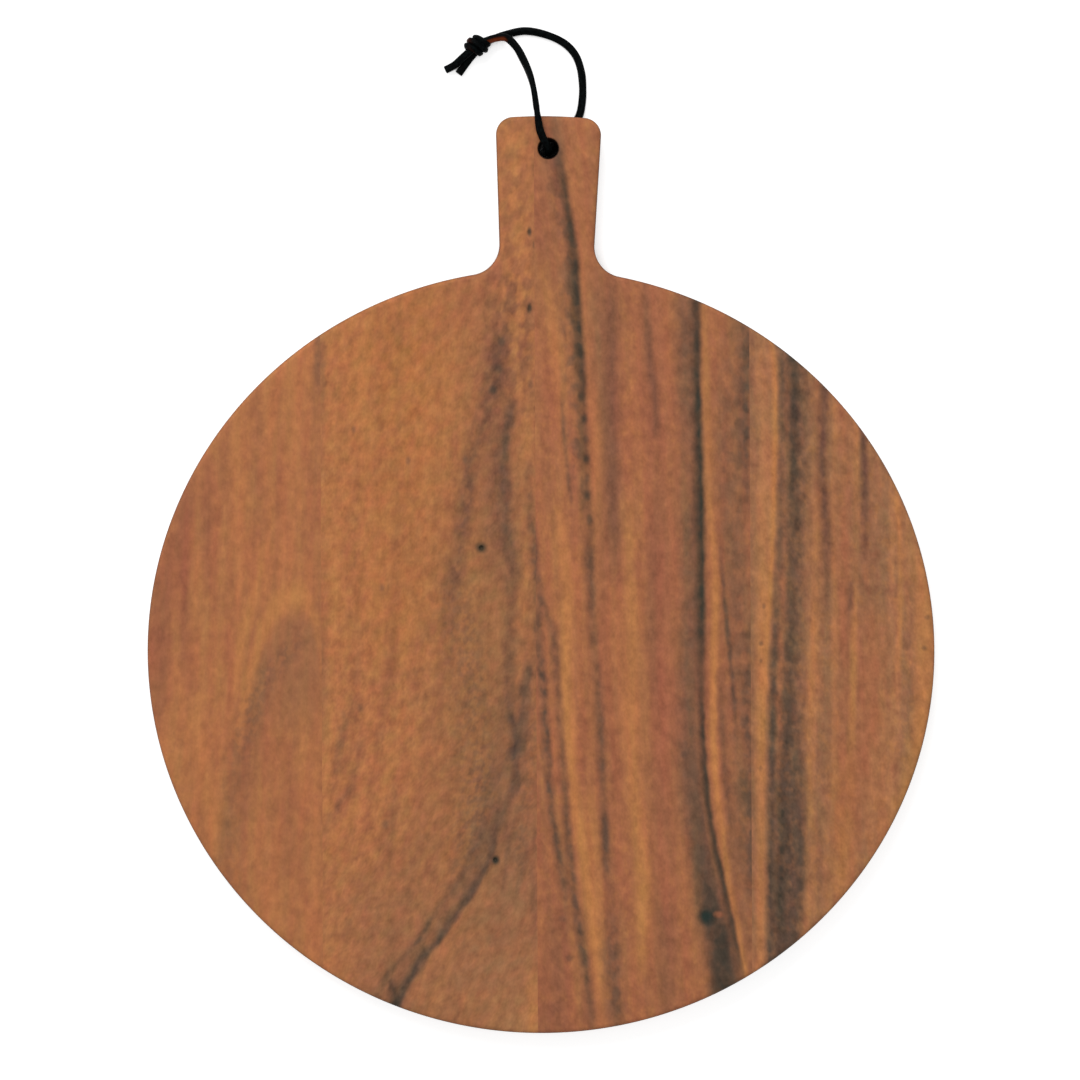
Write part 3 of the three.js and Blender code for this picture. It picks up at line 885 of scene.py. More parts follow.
LEFT_INNER_STREAKS = (
    Streak(OLIVE_BROWN, 36, 34, 0.3, ((-24, -178, 0.35), (-23, -158, 0.5), (-19, -138, 0.75),
        (-14, -118, 0.75), (-12, -98, 0))),
    Streak(OLIVE_BROWN, 14, 14, 0.3, ((-13, -124, 0), (-11, -108, 0.6), (-9, -88, 0.8), (-8, -70, 0.5),
        (-8, -55, 0))),
    Streak(SAND, 14, 16, 0.4, ((-12, -178, 0.7), (-11, -163, 0.6), (-13, -150, 0.2), (-15, -140, 0))),
    Streak(OLIVE, 30, 26, 0.3, ((-26, -150, 0), (-30, -100, 0.4), (-28, -60, 0.6), (-28, 20, 0.7),
        (-25, 100, 0.3), (-24, 130, 0.35), (-20, 155, 0.2), (-14, 180, 0))),
    Streak(RED, 26, 16, 0.3, ((-45, 138, 0), (-40, 153, 0.5), (-30, 165, 0.6), (-20, 182, 0))),
    Streak(DEEP_RED, 13, 9, 0.4, ((-15, 25, 0), (-18, 45, 0.6), (-20, 62, 0.75), (-21, 85, 0.6),
        (-23, 130, 0.75), (-20, 150, 0.5), (-15, 165, 0))),
    Streak(HONEY, 44, 30, 0.4, ((-64, -15, 0), (-64, 25, 0.5), (-64, 60, 0.5), (-64, 100, 0.6),
        (-64, 125, 0.7), (-62, 150, 0.6), (-62, 175, 0))),
    Streak(OLIVE_BROWN, 30, 30, 0.3, ((-62, -178, 0.6), (-66, -150, 0.55), (-72, -125, 0.45),
        (-80, -95, 0))),
    Streak(GOLD, 3.5, 3.5, 0.4, ((-92, -95, 0), (-94, -85, 0.4), (-96, -75, 0.4), (-97.5, -55, 0.5),
        (-97, -40, 0.6), (-97, -10, 0.3), (-95, 30, 0.5), (-96, 60, 0.4), (-96, 90, 0))),
    Streak(BROWN, 4, 4, 0.3, ((-99, -48, 0), (-99.4, -28, 0.5), (-100, -5, 0.5), (-100.4, 12, 0))),
    Streak(GREY_BROWN, 3, 3, 0.5, ((-93, -58, 0), (-92, -50, 0.5), (-86, -20, 0))),
    Streak(GREY_BROWN, 3.5, 3, 0.5, ((-98, -88, 0), (-95, -78, 0.35), (-88, -66, 0.35), (-83, -52, 0.3),
        (-79, -38, 0))),
    Streak(GOLD, 3, 3, 0.5, ((-99, -100, 0), (-95, -91, 0.5), (-83, -71, 0.4), (-79, -60, 0))),
    Streak(GOLD, 2.5, 2.5, 0.5, ((-96, -76, 0), (-92, -67, 0.45), (-87, -56, 0.4), (-84, -44, 0))),
    Streak(GOLD, 3, 3, 0.6, ((-72, -70, 0), (-68, -55, 0.35), (-66, -38, 0.35), (-64, -20, 0))),
    Streak(BROWN, 5, 5, 0.6, ((-72, -108, 0), (-70, -92, 0.4), (-68, -76, 0.35), (-64, -60, 0))),
    Streak(BROWN, 6, 5, 0.7, ((-56, -30, 0), (-56, -15, 0.4), (-54, 0, 0.45), (-52, 14, 0))),
    Streak(GOLD, 10, 8, 0.6, ((-9, 130, 0), (-10, 150, 0.35), (-14, 190, 0.45), (-16, 245, 0.4))),
    Streak(GOLD, 3.2, 3.2, 0.4, ((-8.5, 10, 0), (-8.5, 25, 0.6), (-7.5, 55, 0.2), (-8, 100, 0.4),
        (-8, 115, 0))),
    Streak(DEEP_RED, 18, 14, 1, ((-16, 98, 0), (-14, 115, 0.6), (-12, 150, 0.75), (-13, 166, 0.7),
        (-14, 180, 0.4), (-16, 245, 0.3))),
    Streak(DARK_RED, 6, 5, 0.45, ((-38, -22, 0), (-41, 8, 0.35), (-35, 70, 0.85), (-32, 90, 0.7),
        (-26, 111, 0.5), (-23.5, 119, 0.8), (-19, 150, 0.4), (-15, 162, 0))),
    Streak(UMBER, 11, 13, 0.5, ((-24, -112, 0), (-20, -72, 0.65), (-16, -52, 0.8), (-13, -30, 0.6),
        (-14, 20, 0.3), (-16, 50, 0.5), (-18, 80, 0.4), (-18, 110, 0))),
    Streak(DARK, 4.4, 3.8, 0.25, ((-19, -84, 0), (-15.5, -72, 0.5), (-11.5, -64, 0.7), (-10.2, -55, 0.95),
        (-10.3, -42, 1), (-14, -24, 0.6), (-14.5, 10, 0.35), (-14, 35, 0.3), (-15, 50, 0.5), (-17, 60, 0.6),
        (-18.5, 90, 0.7), (-16.5, 102, 0.8), (-15.3, 110, 0.6), (-14, 116, 0))),
    Streak(DARK, 3.6, 4, 0.25, ((-10, -50, 0), (-9.5, -43, 0.6), (-7.3, -28, 0.85), (-7.4, -20, 0.85),
        (-5.2, -6, 0.5), (-4.5, 1, 0))),
    Streak(UMBER, 15, 3.6, 0.4, ((-64, -166, 0.7), (-57, -149, 0.8), (-34, -116, 0.8), (-26, -100, 0.8),
        (-20, -78, 0.4), (-18, -66, 0))),
    Streak(BROWN, 14, 12, 0.5, ((-58, -146, 0), (-57, -122, 0.6), (-56, -100, 0.6), (-54, -82, 0.4),
        (-50, -60, 0))),
    Streak(DARK, 3.8, 2.8, 0.2, ((-64, -164, 0.9), (-57, -149, 1), (-40, -125, 0.9), (-29, -108, 0.9),
        (-21, -92, 0.75), (-19, -82, 0.6), (-16, -64, 0))),
    Streak(DARK, 3, 3, 0.5, ((-73, -157, 0.3), (-70, -152, 0.5), (-55, -133, 0.75), (-45, -118, 0.35),
        (-36, -105, 0.35), (-31, -96, 0.6), (-29, -90, 0.7), (-26, -79, 0))),
    Streak(DARKEST, 3.2, 3, 0.2, ((-64, -168, 0.9), (-65.5, -155, 0.8), (-67, -149, 0))),
    *CROSSING_VEINS,
    Streak(DARK, 1.8, 1.6, 0.3, ((-2, -140, 0), (-1.2, -128, 0.3), (-2.2, -102, 0.55), (-2, -95, 0.3),
        (-1.5, -87, 0.65), (-1.5, -79, 0))),
    Streak(DARK, 1.6, 1.4, 0.3, ((-9.5, -113, 0), (-8, -102, 0.4), (-5, -93, 0.4), (-3, -83, 0))),
    Streak(GREY_BROWN, 2, 2, 0.3, ((-16, -114, 0), (-15, -104, 0.4), (-14, -92, 0.5), (-14.5, -76, 0))),
    Streak(RED, 9, 6, 0.3, ((0, -135, 0), (0, -115, 0.45), (-1, -65, 0.5), (-1, -45, 0))),
    Streak(GOLD, 3.5, 3.5, 0.2, ((-1, -178, 0.7), (-1.5, -165, 0.6), (-2, -138, 0))),
    Streak(GREY_BROWN, 2.4, 2, 0.4, ((-101.5, 60, 0), (-102, 110, 0.25), (-102, 124, 0.6),
        (-102.5, 150, 0.2))),
)
LEFT_INNER_DOTTED = (
    Streak(UMBER, 16, 10, 1, ((-36, -118, 0), (-31, -95, 0.5), (-25, -65, 0.75), (-28, -35, 0.5),
        (-34, 5, 0.5), (-38, 38, 0))),
    Streak(UMBER, 6, 6, 0.8, ((-8, -104, 0), (-8, -86, 0.7), (-5, -60, 0.5), (-4, -40, 0.6), (-4, -20, 0.3),
        (-5, 0, 0))),
)
LEFT_INNER_SPOTS = (
    Spot(DARKEST, -8, 191.5, 1.5, 2.6, 0.85), Spot(DARK, -5.5, 185.5, 1.4, 2.2, 0.5),
    Spot(DARKEST, -7.5, 157, 1.5, 3.2, 0.85), Spot(DARK, -20, 141, 2.4, 3, 0.6),
    Spot(DARK, -22, 129, 4.4, 3.6, 0.6), Spot(DARKEST, -23.5, 119, 3, 3, 0.75),
    Spot(DARK, -6.5, 122, 1.8, 3, 0.45), Spot(DARK, -7, 134, 2.2, 2.4, 0.4),
    Spot(DARK, -36, 87, 2, 3.2, 0.5), Spot(GREY_BROWN, -73, 28, 2, 2.6, 0.5),
    Spot(GREY_BROWN, -82, -27, 2, 2.6, 0.5), Spot(GREY_BROWN, -70, -80, 2.4, 2.8, 0.5),
    Spot(GREY_BROWN, -87, 100, 1.6, 2.6, 0.5), Spot(GREY_BROWN, -62, 86, 1.6, 2.6, 0.5),
    Spot(DARKEST, -28, 46.8, 3.4, 3.4, 1), Spot(DARKEST, -19.6, -95.6, 2.5, 2.6, 1),
)
LEFT_INNER = Figure(
    light=PALE_ORANGE, dark=AMBER, tilt=-0.3, shear=0.1, mottle=0.95, fray=1.2, hue_run=7,
    flow=((-30, -190), (-14, -110), (-4, -50), (0, 40), (2, 110), (12, 250)),
    streaks=LEFT_INNER_STREAKS, dotted=LEFT_INNER_DOTTED, spots=LEFT_INNER_SPOTS)

RIGHT_INNER_STREAKS = (
    Streak(DEEP_RED, 7, 6, 0.3, ((3, 150, 0), (0, 185, 0.5), (-2, 245, 0.5))),
    Streak(GREY_BROWN, 4, 4, 0.3, ((5.5, 212, 0), (5, 224, 0.5), (4.5, 235, 0.6), (2, 250, 0.5))),
    Streak(GOLD, 4, 4, 0.4, ((8, 85, 0), (8, 100, 0.1), (4, 145, 0.5), (-1.5, 172, 0.4), (-3, 186, 0))),
    Streak(PALE_ORANGE, 34, 36, 0.3, ((36, -55, 0), (36, -15, 0.45), (36, 12, 0.45), (36, 36, 0))),
    Streak(GOLD, 6, 6, 0.6, ((9, 12, 0), (9, 25, 0.4), (7, 55, 0.5), (6, 70, 0))),
    Streak(GREY_BROWN, 6, 5, 0.75, ((18, 60, 0), (13.5, 110, 0.8), (9, 185, 0.7), (7, 200, 0.6),
        (2, 216, 0.2))),
    Streak(BROWN, 6, 5, 0.3, ((26.5, 88, 0), (26, 108, 0.6), (25.5, 125, 0.9), (24.5, 150, 1),
        (23, 168, 0.7), (22, 185, 0))),
    Streak(PALE_ORANGE, 2.6, 4, 0.2, ((28, 0, 0), (26, 40, 0.5), (23.3, 95, 0.8), (20, 140, 0.1),
        (16.5, 190, 0.5), (13, 215, 0.3))),
    Streak(RED, 4, 4, 0.2, ((36, -70, 0), (34, -50, 0.5), (29, 5, 0.6), (27.5, 35, 0.6), (25, 80, 0))),
    Streak(DARK, 4, 2.8, 0.3, ((38, -168, 0.2), (37.7, -160, 0.6), (36.5, -154, 0.7), (35.5, -146, 0.5),
        (36.5, -136, 0.5), (35, -126, 0.3), (32.3, -105, 0.4), (30.7, -83, 0.9), (29.3, -63, 0.6),
        (28.7, -52, 0.8), (27, -17, 0.6), (24, 8, 0.5), (22.6, 30, 0.7), (22, 40, 0.6), (21.7, 50, 0))),
    Streak(DARKEST, 4.6, 2.7, 0.2, ((22, 36, 0), (21.8, 44, 0.5), (18.6, 98, 0.5), (16, 140, 0.95),
        (10.7, 196, 0.9), (6, 219, 0.7), (3, 236, 0))),
    Streak(RUSSET, 5.4, 5.6, 0.1, ((33.5, 28, 0), (33, 42, 0.5), (31, 85, 1), (30.2, 145, 0.95),
        (29.3, 172, 0.5))),
    Streak(ROSE, 7.5, 10, 0.15, ((60, -150, 0.4), (57, -90, 0.6), (57, -60, 0.75), (55.5, -10, 0.9),
        (53.5, 10, 0.85), (54, 30, 0.9), (52, 70, 0.6), (51, 90, 0.4), (48, 130, 0.75), (48, 155, 0.7),
        (47, 172, 0.5))),
    Streak(DARK_RED, 3.4, 2.8, 0.15, ((51.5, 96, 0), (50.6, 114, 0.65), (47.3, 138, 0.65), (45, 166, 0.3))),
    Streak(DEEP_RED, 3.4, 5, 0.2, ((53, -45, 0), (52, -25, 0.4), (50.4, 0, 0.6), (50, 20, 0.5),
        (50, 40, 0.55), (50, 55, 0.4), (51, 75, 0))),
    Streak(GOLD, 5.5, 3.6, 0.35, ((47, -153, 0), (48.6, -126, 0.85), (48.8, -105, 1), (46.3, -85, 0.95),
        (42.2, -38, 0.6), (42, 25, 0.6), (40.2, 38, 0.6), (40, 78, 0))),
    Streak(GREY_BROWN, 7.5, 9, 0.25, ((71, -88, 0), (69.5, -60, 0.8), (67.5, -35, 0.95), (68.7, 25, 0.9),
        (67.5, 45, 0.9), (67, 85, 0.65), (64.5, 130, 0.9), (64.5, 165, 0.8))),
    Streak(GREY_BROWN, 8, 8, 0.25, ((86, -162, 1), (84.5, -150, 1), (78.5, -120, 1), (72.5, -75, 0.9),
        (69, -45, 0))),
    Streak(DARK, 7.5, 7, 0.25, ((87.5, -162, 1), (86, -135, 0.95), (79, -105, 0.85), (74, -75, 0.4),
        (70, -40, 0))),
    Streak(DARKEST, 8, 6.5, 0.3, ((87, -162, 0.8), (84.3, -135, 0.9), (82, -122, 0.6), (78, -108, 0.4),
        (76, -92, 0))),
    Streak(DEEP_RED, 6, 6, 0.3, ((59, -160, 0.4), (58.5, -130, 0.7), (57, -112, 0))),
    Streak(BROWN, 1.6, 1.6, 0.2, ((83.5, -108, 0), (81, -96, 0.6), (78, -82, 0.7), (74, -55, 0.6),
        (72, -35, 0))),
    Streak(GOLD, 2.8, 2.2, 0.2, ((95.5, -146, 0.8), (83.7, -79, 1), (80.8, -55, 1), (79.3, -32, 1),
        (79.6, 25, 0.9), (76.8, 67, 0.65), (72, 158, 0.4))),
    Streak(DARKEST, 4.2, 2.4, 0.15, ((73.8, -22, 0), (73.6, -8, 0.6), (73.1, 32, 1), (70.2, 118, 1),
        (69, 162, 0.8))),
    Streak(DARKEST, 2.6, 1.6, 0.15, ((94, -147, 0.5), (87.6, -116, 0.95), (77.6, -70, 0.85),
        (74.8, -40, 0.95), (73.8, -20, 0.6), (73.6, -6, 0))),
    Streak(UMBER, 10.5, 8, 0.45, ((99, -142, 0.2), (95, -112, 0.5), (93.5, -90, 0.7), (93, -60, 0.85),
        (91, 0, 0.8), (87, 65, 0.8), (85, 80, 0.8), (86.5, 150, 0.6))),
    Streak(DARK_RED, 2.2, 2.8, 0.3, ((81.5, -4, 0), (82.3, -20, 0.4), (84.6, -52, 0.6), (90, -90, 0))),
    Streak(DARK, 1.6, 1.5, 0.3, ((89.5, -34, 0), (88, -15, 0.8), (81.5, 42, 0.5), (80.5, 53, 0))),
    Streak(DARK, 5.5, 2.4, 0.35, ((94, 56, 0), (93, 80, 0.7), (92.3, 108, 0.95), (92.4, 140, 0.9),
        (92, 156, 0.6))),
    Streak(DARK, 3.6, 3, 0.6, ((98, -113, 0), (97.3, -92, 0.8), (96.3, -70, 0.8), (95, -10, 0.7),
        (95, 5, 0.5), (94.8, 22, 0))),
    Streak(DARK, 1.5, 1.4, 0.3, ((13.2, 66, 0), (11.5, 78, 0.5), (8.8, 103, 0.5), (7.6, 120, 0))),
    Streak(GOLD, 7, 5, 0.5, ((30, -146, 0), (28, -130, 0.4), (25, -95, 0.6), (22, -58, 0))),
    Streak(GOLD, 3.2, 3.8, 0.25, ((29.5, -172, 0.2), (29, -158, 0.4), (28, -147, 0.8), (27, -137, 0.95),
        (14.5, -48, 1), (11.2, 3, 0.9), (12, 28, 0.7), (9, 52, 0.4), (8, 62, 0))),
    *CROSSING_VEINS,
    Streak(DEEP_RED, 7, 10, 0.35, ((7, -178, 0.8), (9, -150, 0.75), (8, -135, 0.5), (9, -120, 0.3),
        (8, -105, 0))),
    Streak(GREY_BROWN, 7, 6, 0.75, ((37, -168, 0.4), (35, -145, 0.8), (34, -130, 0.6), (33, -116, 0))),
)
RIGHT_INNER_SPOTS = (
    Spot(DARKEST, 16.7, 116, 2.4, 3.4, 0.7), Spot(DARKEST, 18.2, 106.5, 2.4, 3.2, 0.75),
    Spot(DARKEST, 19.3, 88, 2.4, 3, 0.75), Spot(DARKEST, 20.2, 71.5, 2.2, 3.2, 0.7),
    Spot(DARKEST, 21.3, 60, 2, 3.4, 0.6), Spot(DARK, 19, 97, 1.8, 2.6, 0.5),
    Spot(DARK, 20, 79, 1.8, 2.6, 0.5), Spot(KNOT_GREEN, 77.3, -120, 5.4, 5.4, 1),
    Spot(DARK, 11.5, -122, 2.2, 2, 0.4), Spot(DARK, 15, -140, 2, 2, 0.4),
    Spot(DARK, 66, -46, 2.4, 2.2, 0.5), Spot(RED_ORANGE, 83, -119, 3, 2, 0.7),
)
RIGHT_INNER = Figure(
    light=ORANGE, dark=RED_ORANGE, tilt=0.4, shear=0.0, mottle=0.8, fray=0.5, hue_run=45,
    flow=((14, -190), (7, -90), (1, 0), (-3, 100), (-10, 200), (-18, 250)),
    streaks=RIGHT_INNER_STREAKS, spots=RIGHT_INNER_SPOTS)

RIGHT_OUTER_STREAKS = (
    Streak(ORANGE, 10, 10, 0.2, ((146, -95, 0), (149, -45, 0.7), (152, -20, 0.8), (152, 5, 0.7),
        (152, 28, 0))),
    Streak(BROWN, 6, 7, 0.7, ((153, 8, 0), (153, 45, 0.3), (152, 96, 0.35))),
    Streak(ROSE, 9, 9, 0.2, ((146, -90, 0), (147, -50, 0.45), (147, 0, 0.5), (146, 40, 0.4), (144, 80, 0))),
    Streak(HONEY, 8, 8, 0.3, ((139, -118, 0), (139, -90, 0.5), (138, -62, 0.6), (138, -35, 0))),
    Streak(UMBER, 4, 4, 0.6, ((129, -122, 0), (128.5, -92, 0.6), (128, -66, 0))),
    Streak(BROWN, 4, 4, 0.4, ((126, 8, 0), (126, 28, 0.6), (126, 48, 0))),
    Streak(BROWN, 5, 6, 0.8, ((131, -88, 0), (130, -60, 0.2), (130, 15, 0.4), (130, 38, 0))),
    Streak(TAN, 5, 6.5, 0.2, ((103.5, -143, 0.5), (102, -135, 0.5), (99.3, -80, 0.55), (99.3, -50, 0.9),
        (101, 30, 1), (101, 70, 0.7), (101.5, 100, 0.4), (101.5, 150, 0.4))),
    Streak(UMBER, 8, 3.4, 0.5, ((98.2, -142, 0.5), (97.4, -90, 0.65), (96.8, -50, 0.75), (95.9, -10, 0.5),
        (95, 40, 0.35), (94, 100, 0.5), (93.3, 140, 0.5))),
    Streak(GOLD, 3, 3, 0.35, ((103, -130, 0.2), (101.5, -90, 0.3), (100.5, -10, 0.7), (101, 50, 0.3),
        (99, 90, 0))),
    Streak(GOLD, 2.2, 1.7, 0.15, ((102, -62, 0.3), (102, -40, 0.6), (105.5, 80, 0.9), (105.5, 120, 0.8),
        (104, 139, 0.6))),
    Streak(GREY_BROWN, 10, 8, 0.35, ((113, -140, 1), (114, -120, 1), (113.5, -20, 0.9), (116, 40, 0.8),
        (116, 120, 0.9), (114, 141, 0.9))),
    Streak(DARK, 6, 4.4, 0.4, ((117, -132, 1), (119.5, -100, 1), (119, -62, 0.9), (118.5, -38, 0.3),
        (118, -3, 0))),
    Streak(DARK, 2.8, 3, 0.35, ((106.5, -140, 1), (106.2, -50, 1), (106.8, 20, 0.8), (107.8, 40, 0.6),
        (108.8, 62, 0.75), (109, 95, 0.5), (108.8, 125, 0.8), (107.5, 141, 0.9))),
    Streak(AMBER, 1.9, 1.8, 0.4, ((109.6, -55, 0), (109.5, -40, 0.5), (109.5, -20, 0.65), (110.3, 30, 0.3),
        (111, 115, 0.2), (110, 135, 0))),
    Streak(DARKEST, 3.4, 3.4, 0.35, ((111, -134, 0.9), (111.6, -52, 0.9), (113, -36, 0.7),
        (113.7, 35, 0.45), (114.4, 65, 0.6), (113.6, 125, 0.9), (112.5, 137, 0.9))),
    Streak(GOLD, 2.4, 2.6, 0.5, ((125, -122, 0), (126, -105, 0.3), (126, -84, 0.4), (124.2, -70, 0.5),
        (123.6, -20, 0.5), (124.4, 8, 0.6), (124.7, 40, 0.1), (125, 60, 0.3), (125, 80, 0))),
    Streak(DARK_RED, 4.4, 3.4, 0.25, ((131, 16, 0), (130.8, 30, 0.5), (127.2, 103, 1), (128.6, 127, 0.9))),
    Streak(RED_ORANGE, 6, 3.4, 0.2, ((140, -88, 0), (139.5, -55, 0.6), (139.2, 10, 0.85), (138, 50, 0.75),
        (138, 95, 0.5), (136, 116, 0.4))),
    Streak(GOLD, 2.2, 2.2, 0.2, ((142, -46, 0), (142.5, -32, 0.5), (142.7, -15, 0.7), (143, 55, 0.2),
        (143, 95, 0.4), (142.5, 110, 0.3))),
    Streak(DARK_RED, 2.8, 2.5, 0.2, ((147.4, 36, 0), (147.2, 60, 0.7), (146.2, 95, 1), (145.6, 107, 0.9))),
    Streak(DARK_RED, 2.2, 2.2, 0.4, ((140.6, 11, 0), (141, 28, 0.8), (140.8, 35, 0))),
    Streak(GOLD, 1.8, 1.8, 0.3, ((163.4, -10, 0), (163.8, 18, 0.6), (163.5, 45, 0.6), (162, 68, 0.7),
        (161.5, 82, 0.3))),
    Streak(GREY_BROWN, 3, 4, 0.85, ((169.5, -27, 0), (168.5, -10, 0.45), (168, 35, 0.4), (167, 50, 0))),
    Streak(GOLD, 6, 6, 0.25, ((152, -104, 0), (163, -75, 0.5), (169.5, -55, 0.75), (173.5, -35, 0.8),
        (175.5, -15, 0.75), (175, 20, 0.65), (173, 52, 0))),
    Streak(GOLD, 2, 2, 0.4, ((135, -62, 0), (134.6, -40, 0.3), (133, 62, 0.2))),
)
RIGHT_OUTER_DOTTED = (
    Streak(DARK, 8, 8, 1, ((113, -140, 0.7), (114, -100, 0.9), (114, -20, 0.5), (115, 40, 0.4),
        (115, 135, 0.4))),
)
RIGHT_OUTER_SPOTS = (
    Spot(DARK, 175, 4, 1.8, 1.8, 0.5), Spot(DARK, 176, 18, 1.8, 1.4, 0.4),
    Spot(DARK, 101.5, 22, 1.2, 2, 0.5), Spot(DARK, 100.5, 5, 1.4, 1.6, 0.5),
    Spot(DARK, 100.5, -3, 1.2, 1.4, 0.4), Spot(DARK, 101, -52, 1.4, 2, 0.4),
)
RIGHT_OUTER = Figure(
    light=TAN, dark=OLIVE_BROWN, tilt=-0.35, shear=-0.1, mottle=0.95, fray=0.4, hue_run=20,
    flow=((4, -190), (0, -60), (0, 60), (-2, 250)),
    streaks=RIGHT_OUTER_STREAKS, dotted=RIGHT_OUTER_DOTTED, spots=RIGHT_OUTER_SPOTS)

HANDLE_STAVES = ("left_inner", "right_inner")
STAVE_FIGURES = {"left_outer": LEFT_OUTER, "left_inner": LEFT_INNER,
                 "right_inner": RIGHT_INNER, "right_outer": RIGHT_OUTER}

# Painted shade and highlight: how light the wood is painted on its rounded edge, by how much the surface
# faces up or down (0 is upright), darker towards the side and a little lighter just below the top
PAINTED_EDGE_SHADE_AND_HIGHLIGHT = ((0.0, 0.74), (0.12, 0.62), (0.4, 0.62), (0.7, 0.98), (0.88, 1.0), (1.0, 0.96))
STREAK_SOFTNESS = 1.25
PALE_TONE = 0.125        # tones with less green than this keep to low blots, the others to high ones
BLOT_RANGE = (0.36, 0.64)
SPOT_DEPTH = 5
SPOT_FRAY = 0.3
SPOT_CORE = 0.15
SPOT_EDGE = 1.1
BORE_EDGE = (0.1, 0.9)   # how far out of the hole's wall its painted shade goes
BORE_STRENGTH = 0.97

# The arched figure by the left seam, an oval cut open below. The ranges are of the distance from its centre
# in shares of its reach, then of y and of x, with the strengths at their ends
ARCH_CENTRE = (-111, -60)
ARCH_LEFT = 28
ARCH_RIGHT = 16
ARCH_RISE = 89
ARCH_INSIDE = (0.92, 0.79, 0.0, 0.62)
ARCH_INSIDE_RISE = (-48, -12)
ARCH_INSIDE_SEAM = (-105, -99.5, 1.0, 0.3)
ARCH_RIM = 0.95
ARCH_RIM_FADE = (0.015, 0.11, 0.6, 0.0)
ARCH_RIM_RISE = (-60, -25)
ARCH_RIM_SEAM = (-108, -100, 1.0, 0.3)

# The wood's noises, by the millimetres that a swing takes across and along the grain
Grain = namedtuple("Grain", "across along detail roughness sheared", defaults=(2.0, 0.5, False))
BANDS = Grain(8, 90)
STRANDS = Grain(2.6, 40)
MOTTLE = Grain(5, 7, roughness=0.7, sheared=True)
FLECKS = Grain(4, 5.6, roughness=0.75, sheared=True)
FIBRES = Grain(0.9, 16, detail=3, roughness=0.6)
PORES = Grain(0.3, 3.5, detail=1)
BLOTS = Grain(4.2, 6, detail=1, roughness=0.45, sheared=True)
DOTS = Grain(2.6, 3.2, detail=1, roughness=0.4, sheared=True)
FRAY = Grain(4.6, 8, detail=1, roughness=0.4)
HUE_ACROSS = 4.5

NOISE_SPAN = (0.2, 0.8)  # the range that a noise really takes
BAND_RANGE = (0.3, 0.7)
GOLD_RANGE = (0.45, 0.75)
GOLD_SHARE = 0.45
RED_RANGE = (0.52, 0.25)
RED_SHARE = 0.5
LIGHT_WOOD = 0.15        # greens of light and dark wood, and how far the flecks swing on each
DARK_WOOD = 0.07
LIGHT_SWING = 0.29
DARK_SWING = 0.4
STRAND_SHADES = (0.96, 1.04)
FIBRE_SPAN = (0.25, 0.75)
FIBRE_SHADES = (0.98, 1.02)
PORE_SHADES = (0.3, 0.42, 0.95, 1.0)
HUE_SHADES = (0.95, 1.05)
WOOD_ROUGHNESS = (0.5, 0.62)
PORE_HEIGHT = 0.7
FIBRE_HEIGHT = 0.3
WOOD_RELIEF = 0.08
WOOD_SHEEN = 0.08


def fraction(value, span):
    return (value - span[0]) / (span[1] - span[0])


class WoodGraph(Graph):
    """A stave's node tree, with its place in millimetres and the directions of its grain."""

    def __init__(self, tree, figure):
        super().__init__(tree)
        self.figure = figure
        self.place = place_in_millimetres(self)
        parts = self.add("ShaderNodeSeparateXYZ", {0: self.place}).node.outputs
        self.y = parts[1]
        self.z = parts[2]
        self.row = self.straight(self.y, *ROW_SPAN)

        # The grain leans through the board's thickness and bends along its length
        depth = self.math("SUBTRACT", self.z, BOARD_THICKNESS)
        leaned = self.math("ADD", parts[0], self.times(depth, figure.tilt))
        bends = [(fraction(y, ROW_SPAN), fraction(shift, COLUMN_SPAN)) for shift, y in figure.flow]
        bend = self.straight(self.curve(self.row, bends), 0, 1, *COLUMN_SPAN)
        self.across = self.math("SUBTRACT", leaned, bend)

        # What is drawn leans too but doesn't bend with the grain, and its edges are frayed
        self.fray = self.grain(FRAY)
        self.x = self.math("ADD", leaned, self.straight(self.fray, *NOISE_SPAN, -figure.fray, figure.fray))
        self.column = self.straight(self.x, *COLUMN_SPAN)
        self.fibres = self.grain(FIBRES)
        self.pores = self.grain(PORES)

    def grain(self, kind):
        """A noise that is stretched along the grain."""
        across = self.across
        if kind.sheared and self.figure.shear:
            across = self.math("ADD", across, self.times(self.y, -self.figure.shear))
        stretched = self.combine(self.math("DIVIDE", across, kind.across),
                                 self.math("DIVIDE", self.y, kind.along),
                                 self.math("DIVIDE", self.z, kind.across))
        return self.noise(stretched, kind.detail, kind.roughness)


def banded_colour(wood):
    """The stave's two tones in bands, mottled with gold and red."""
    figure = wood.figure
    mottle = wood.grain(MOTTLE)
    colour = wood.mix(wood.ramp(wood.grain(BANDS), *BAND_RANGE), figure.light, figure.dark)
    colour = wood.mix(wood.ramp(mottle, *GOLD_RANGE, 0.0, GOLD_SHARE * figure.mottle), colour, GOLD)
    return wood.mix(wood.ramp(mottle, *RED_RANGE, 0.0, RED_SHARE * figure.mottle), colour, RED)


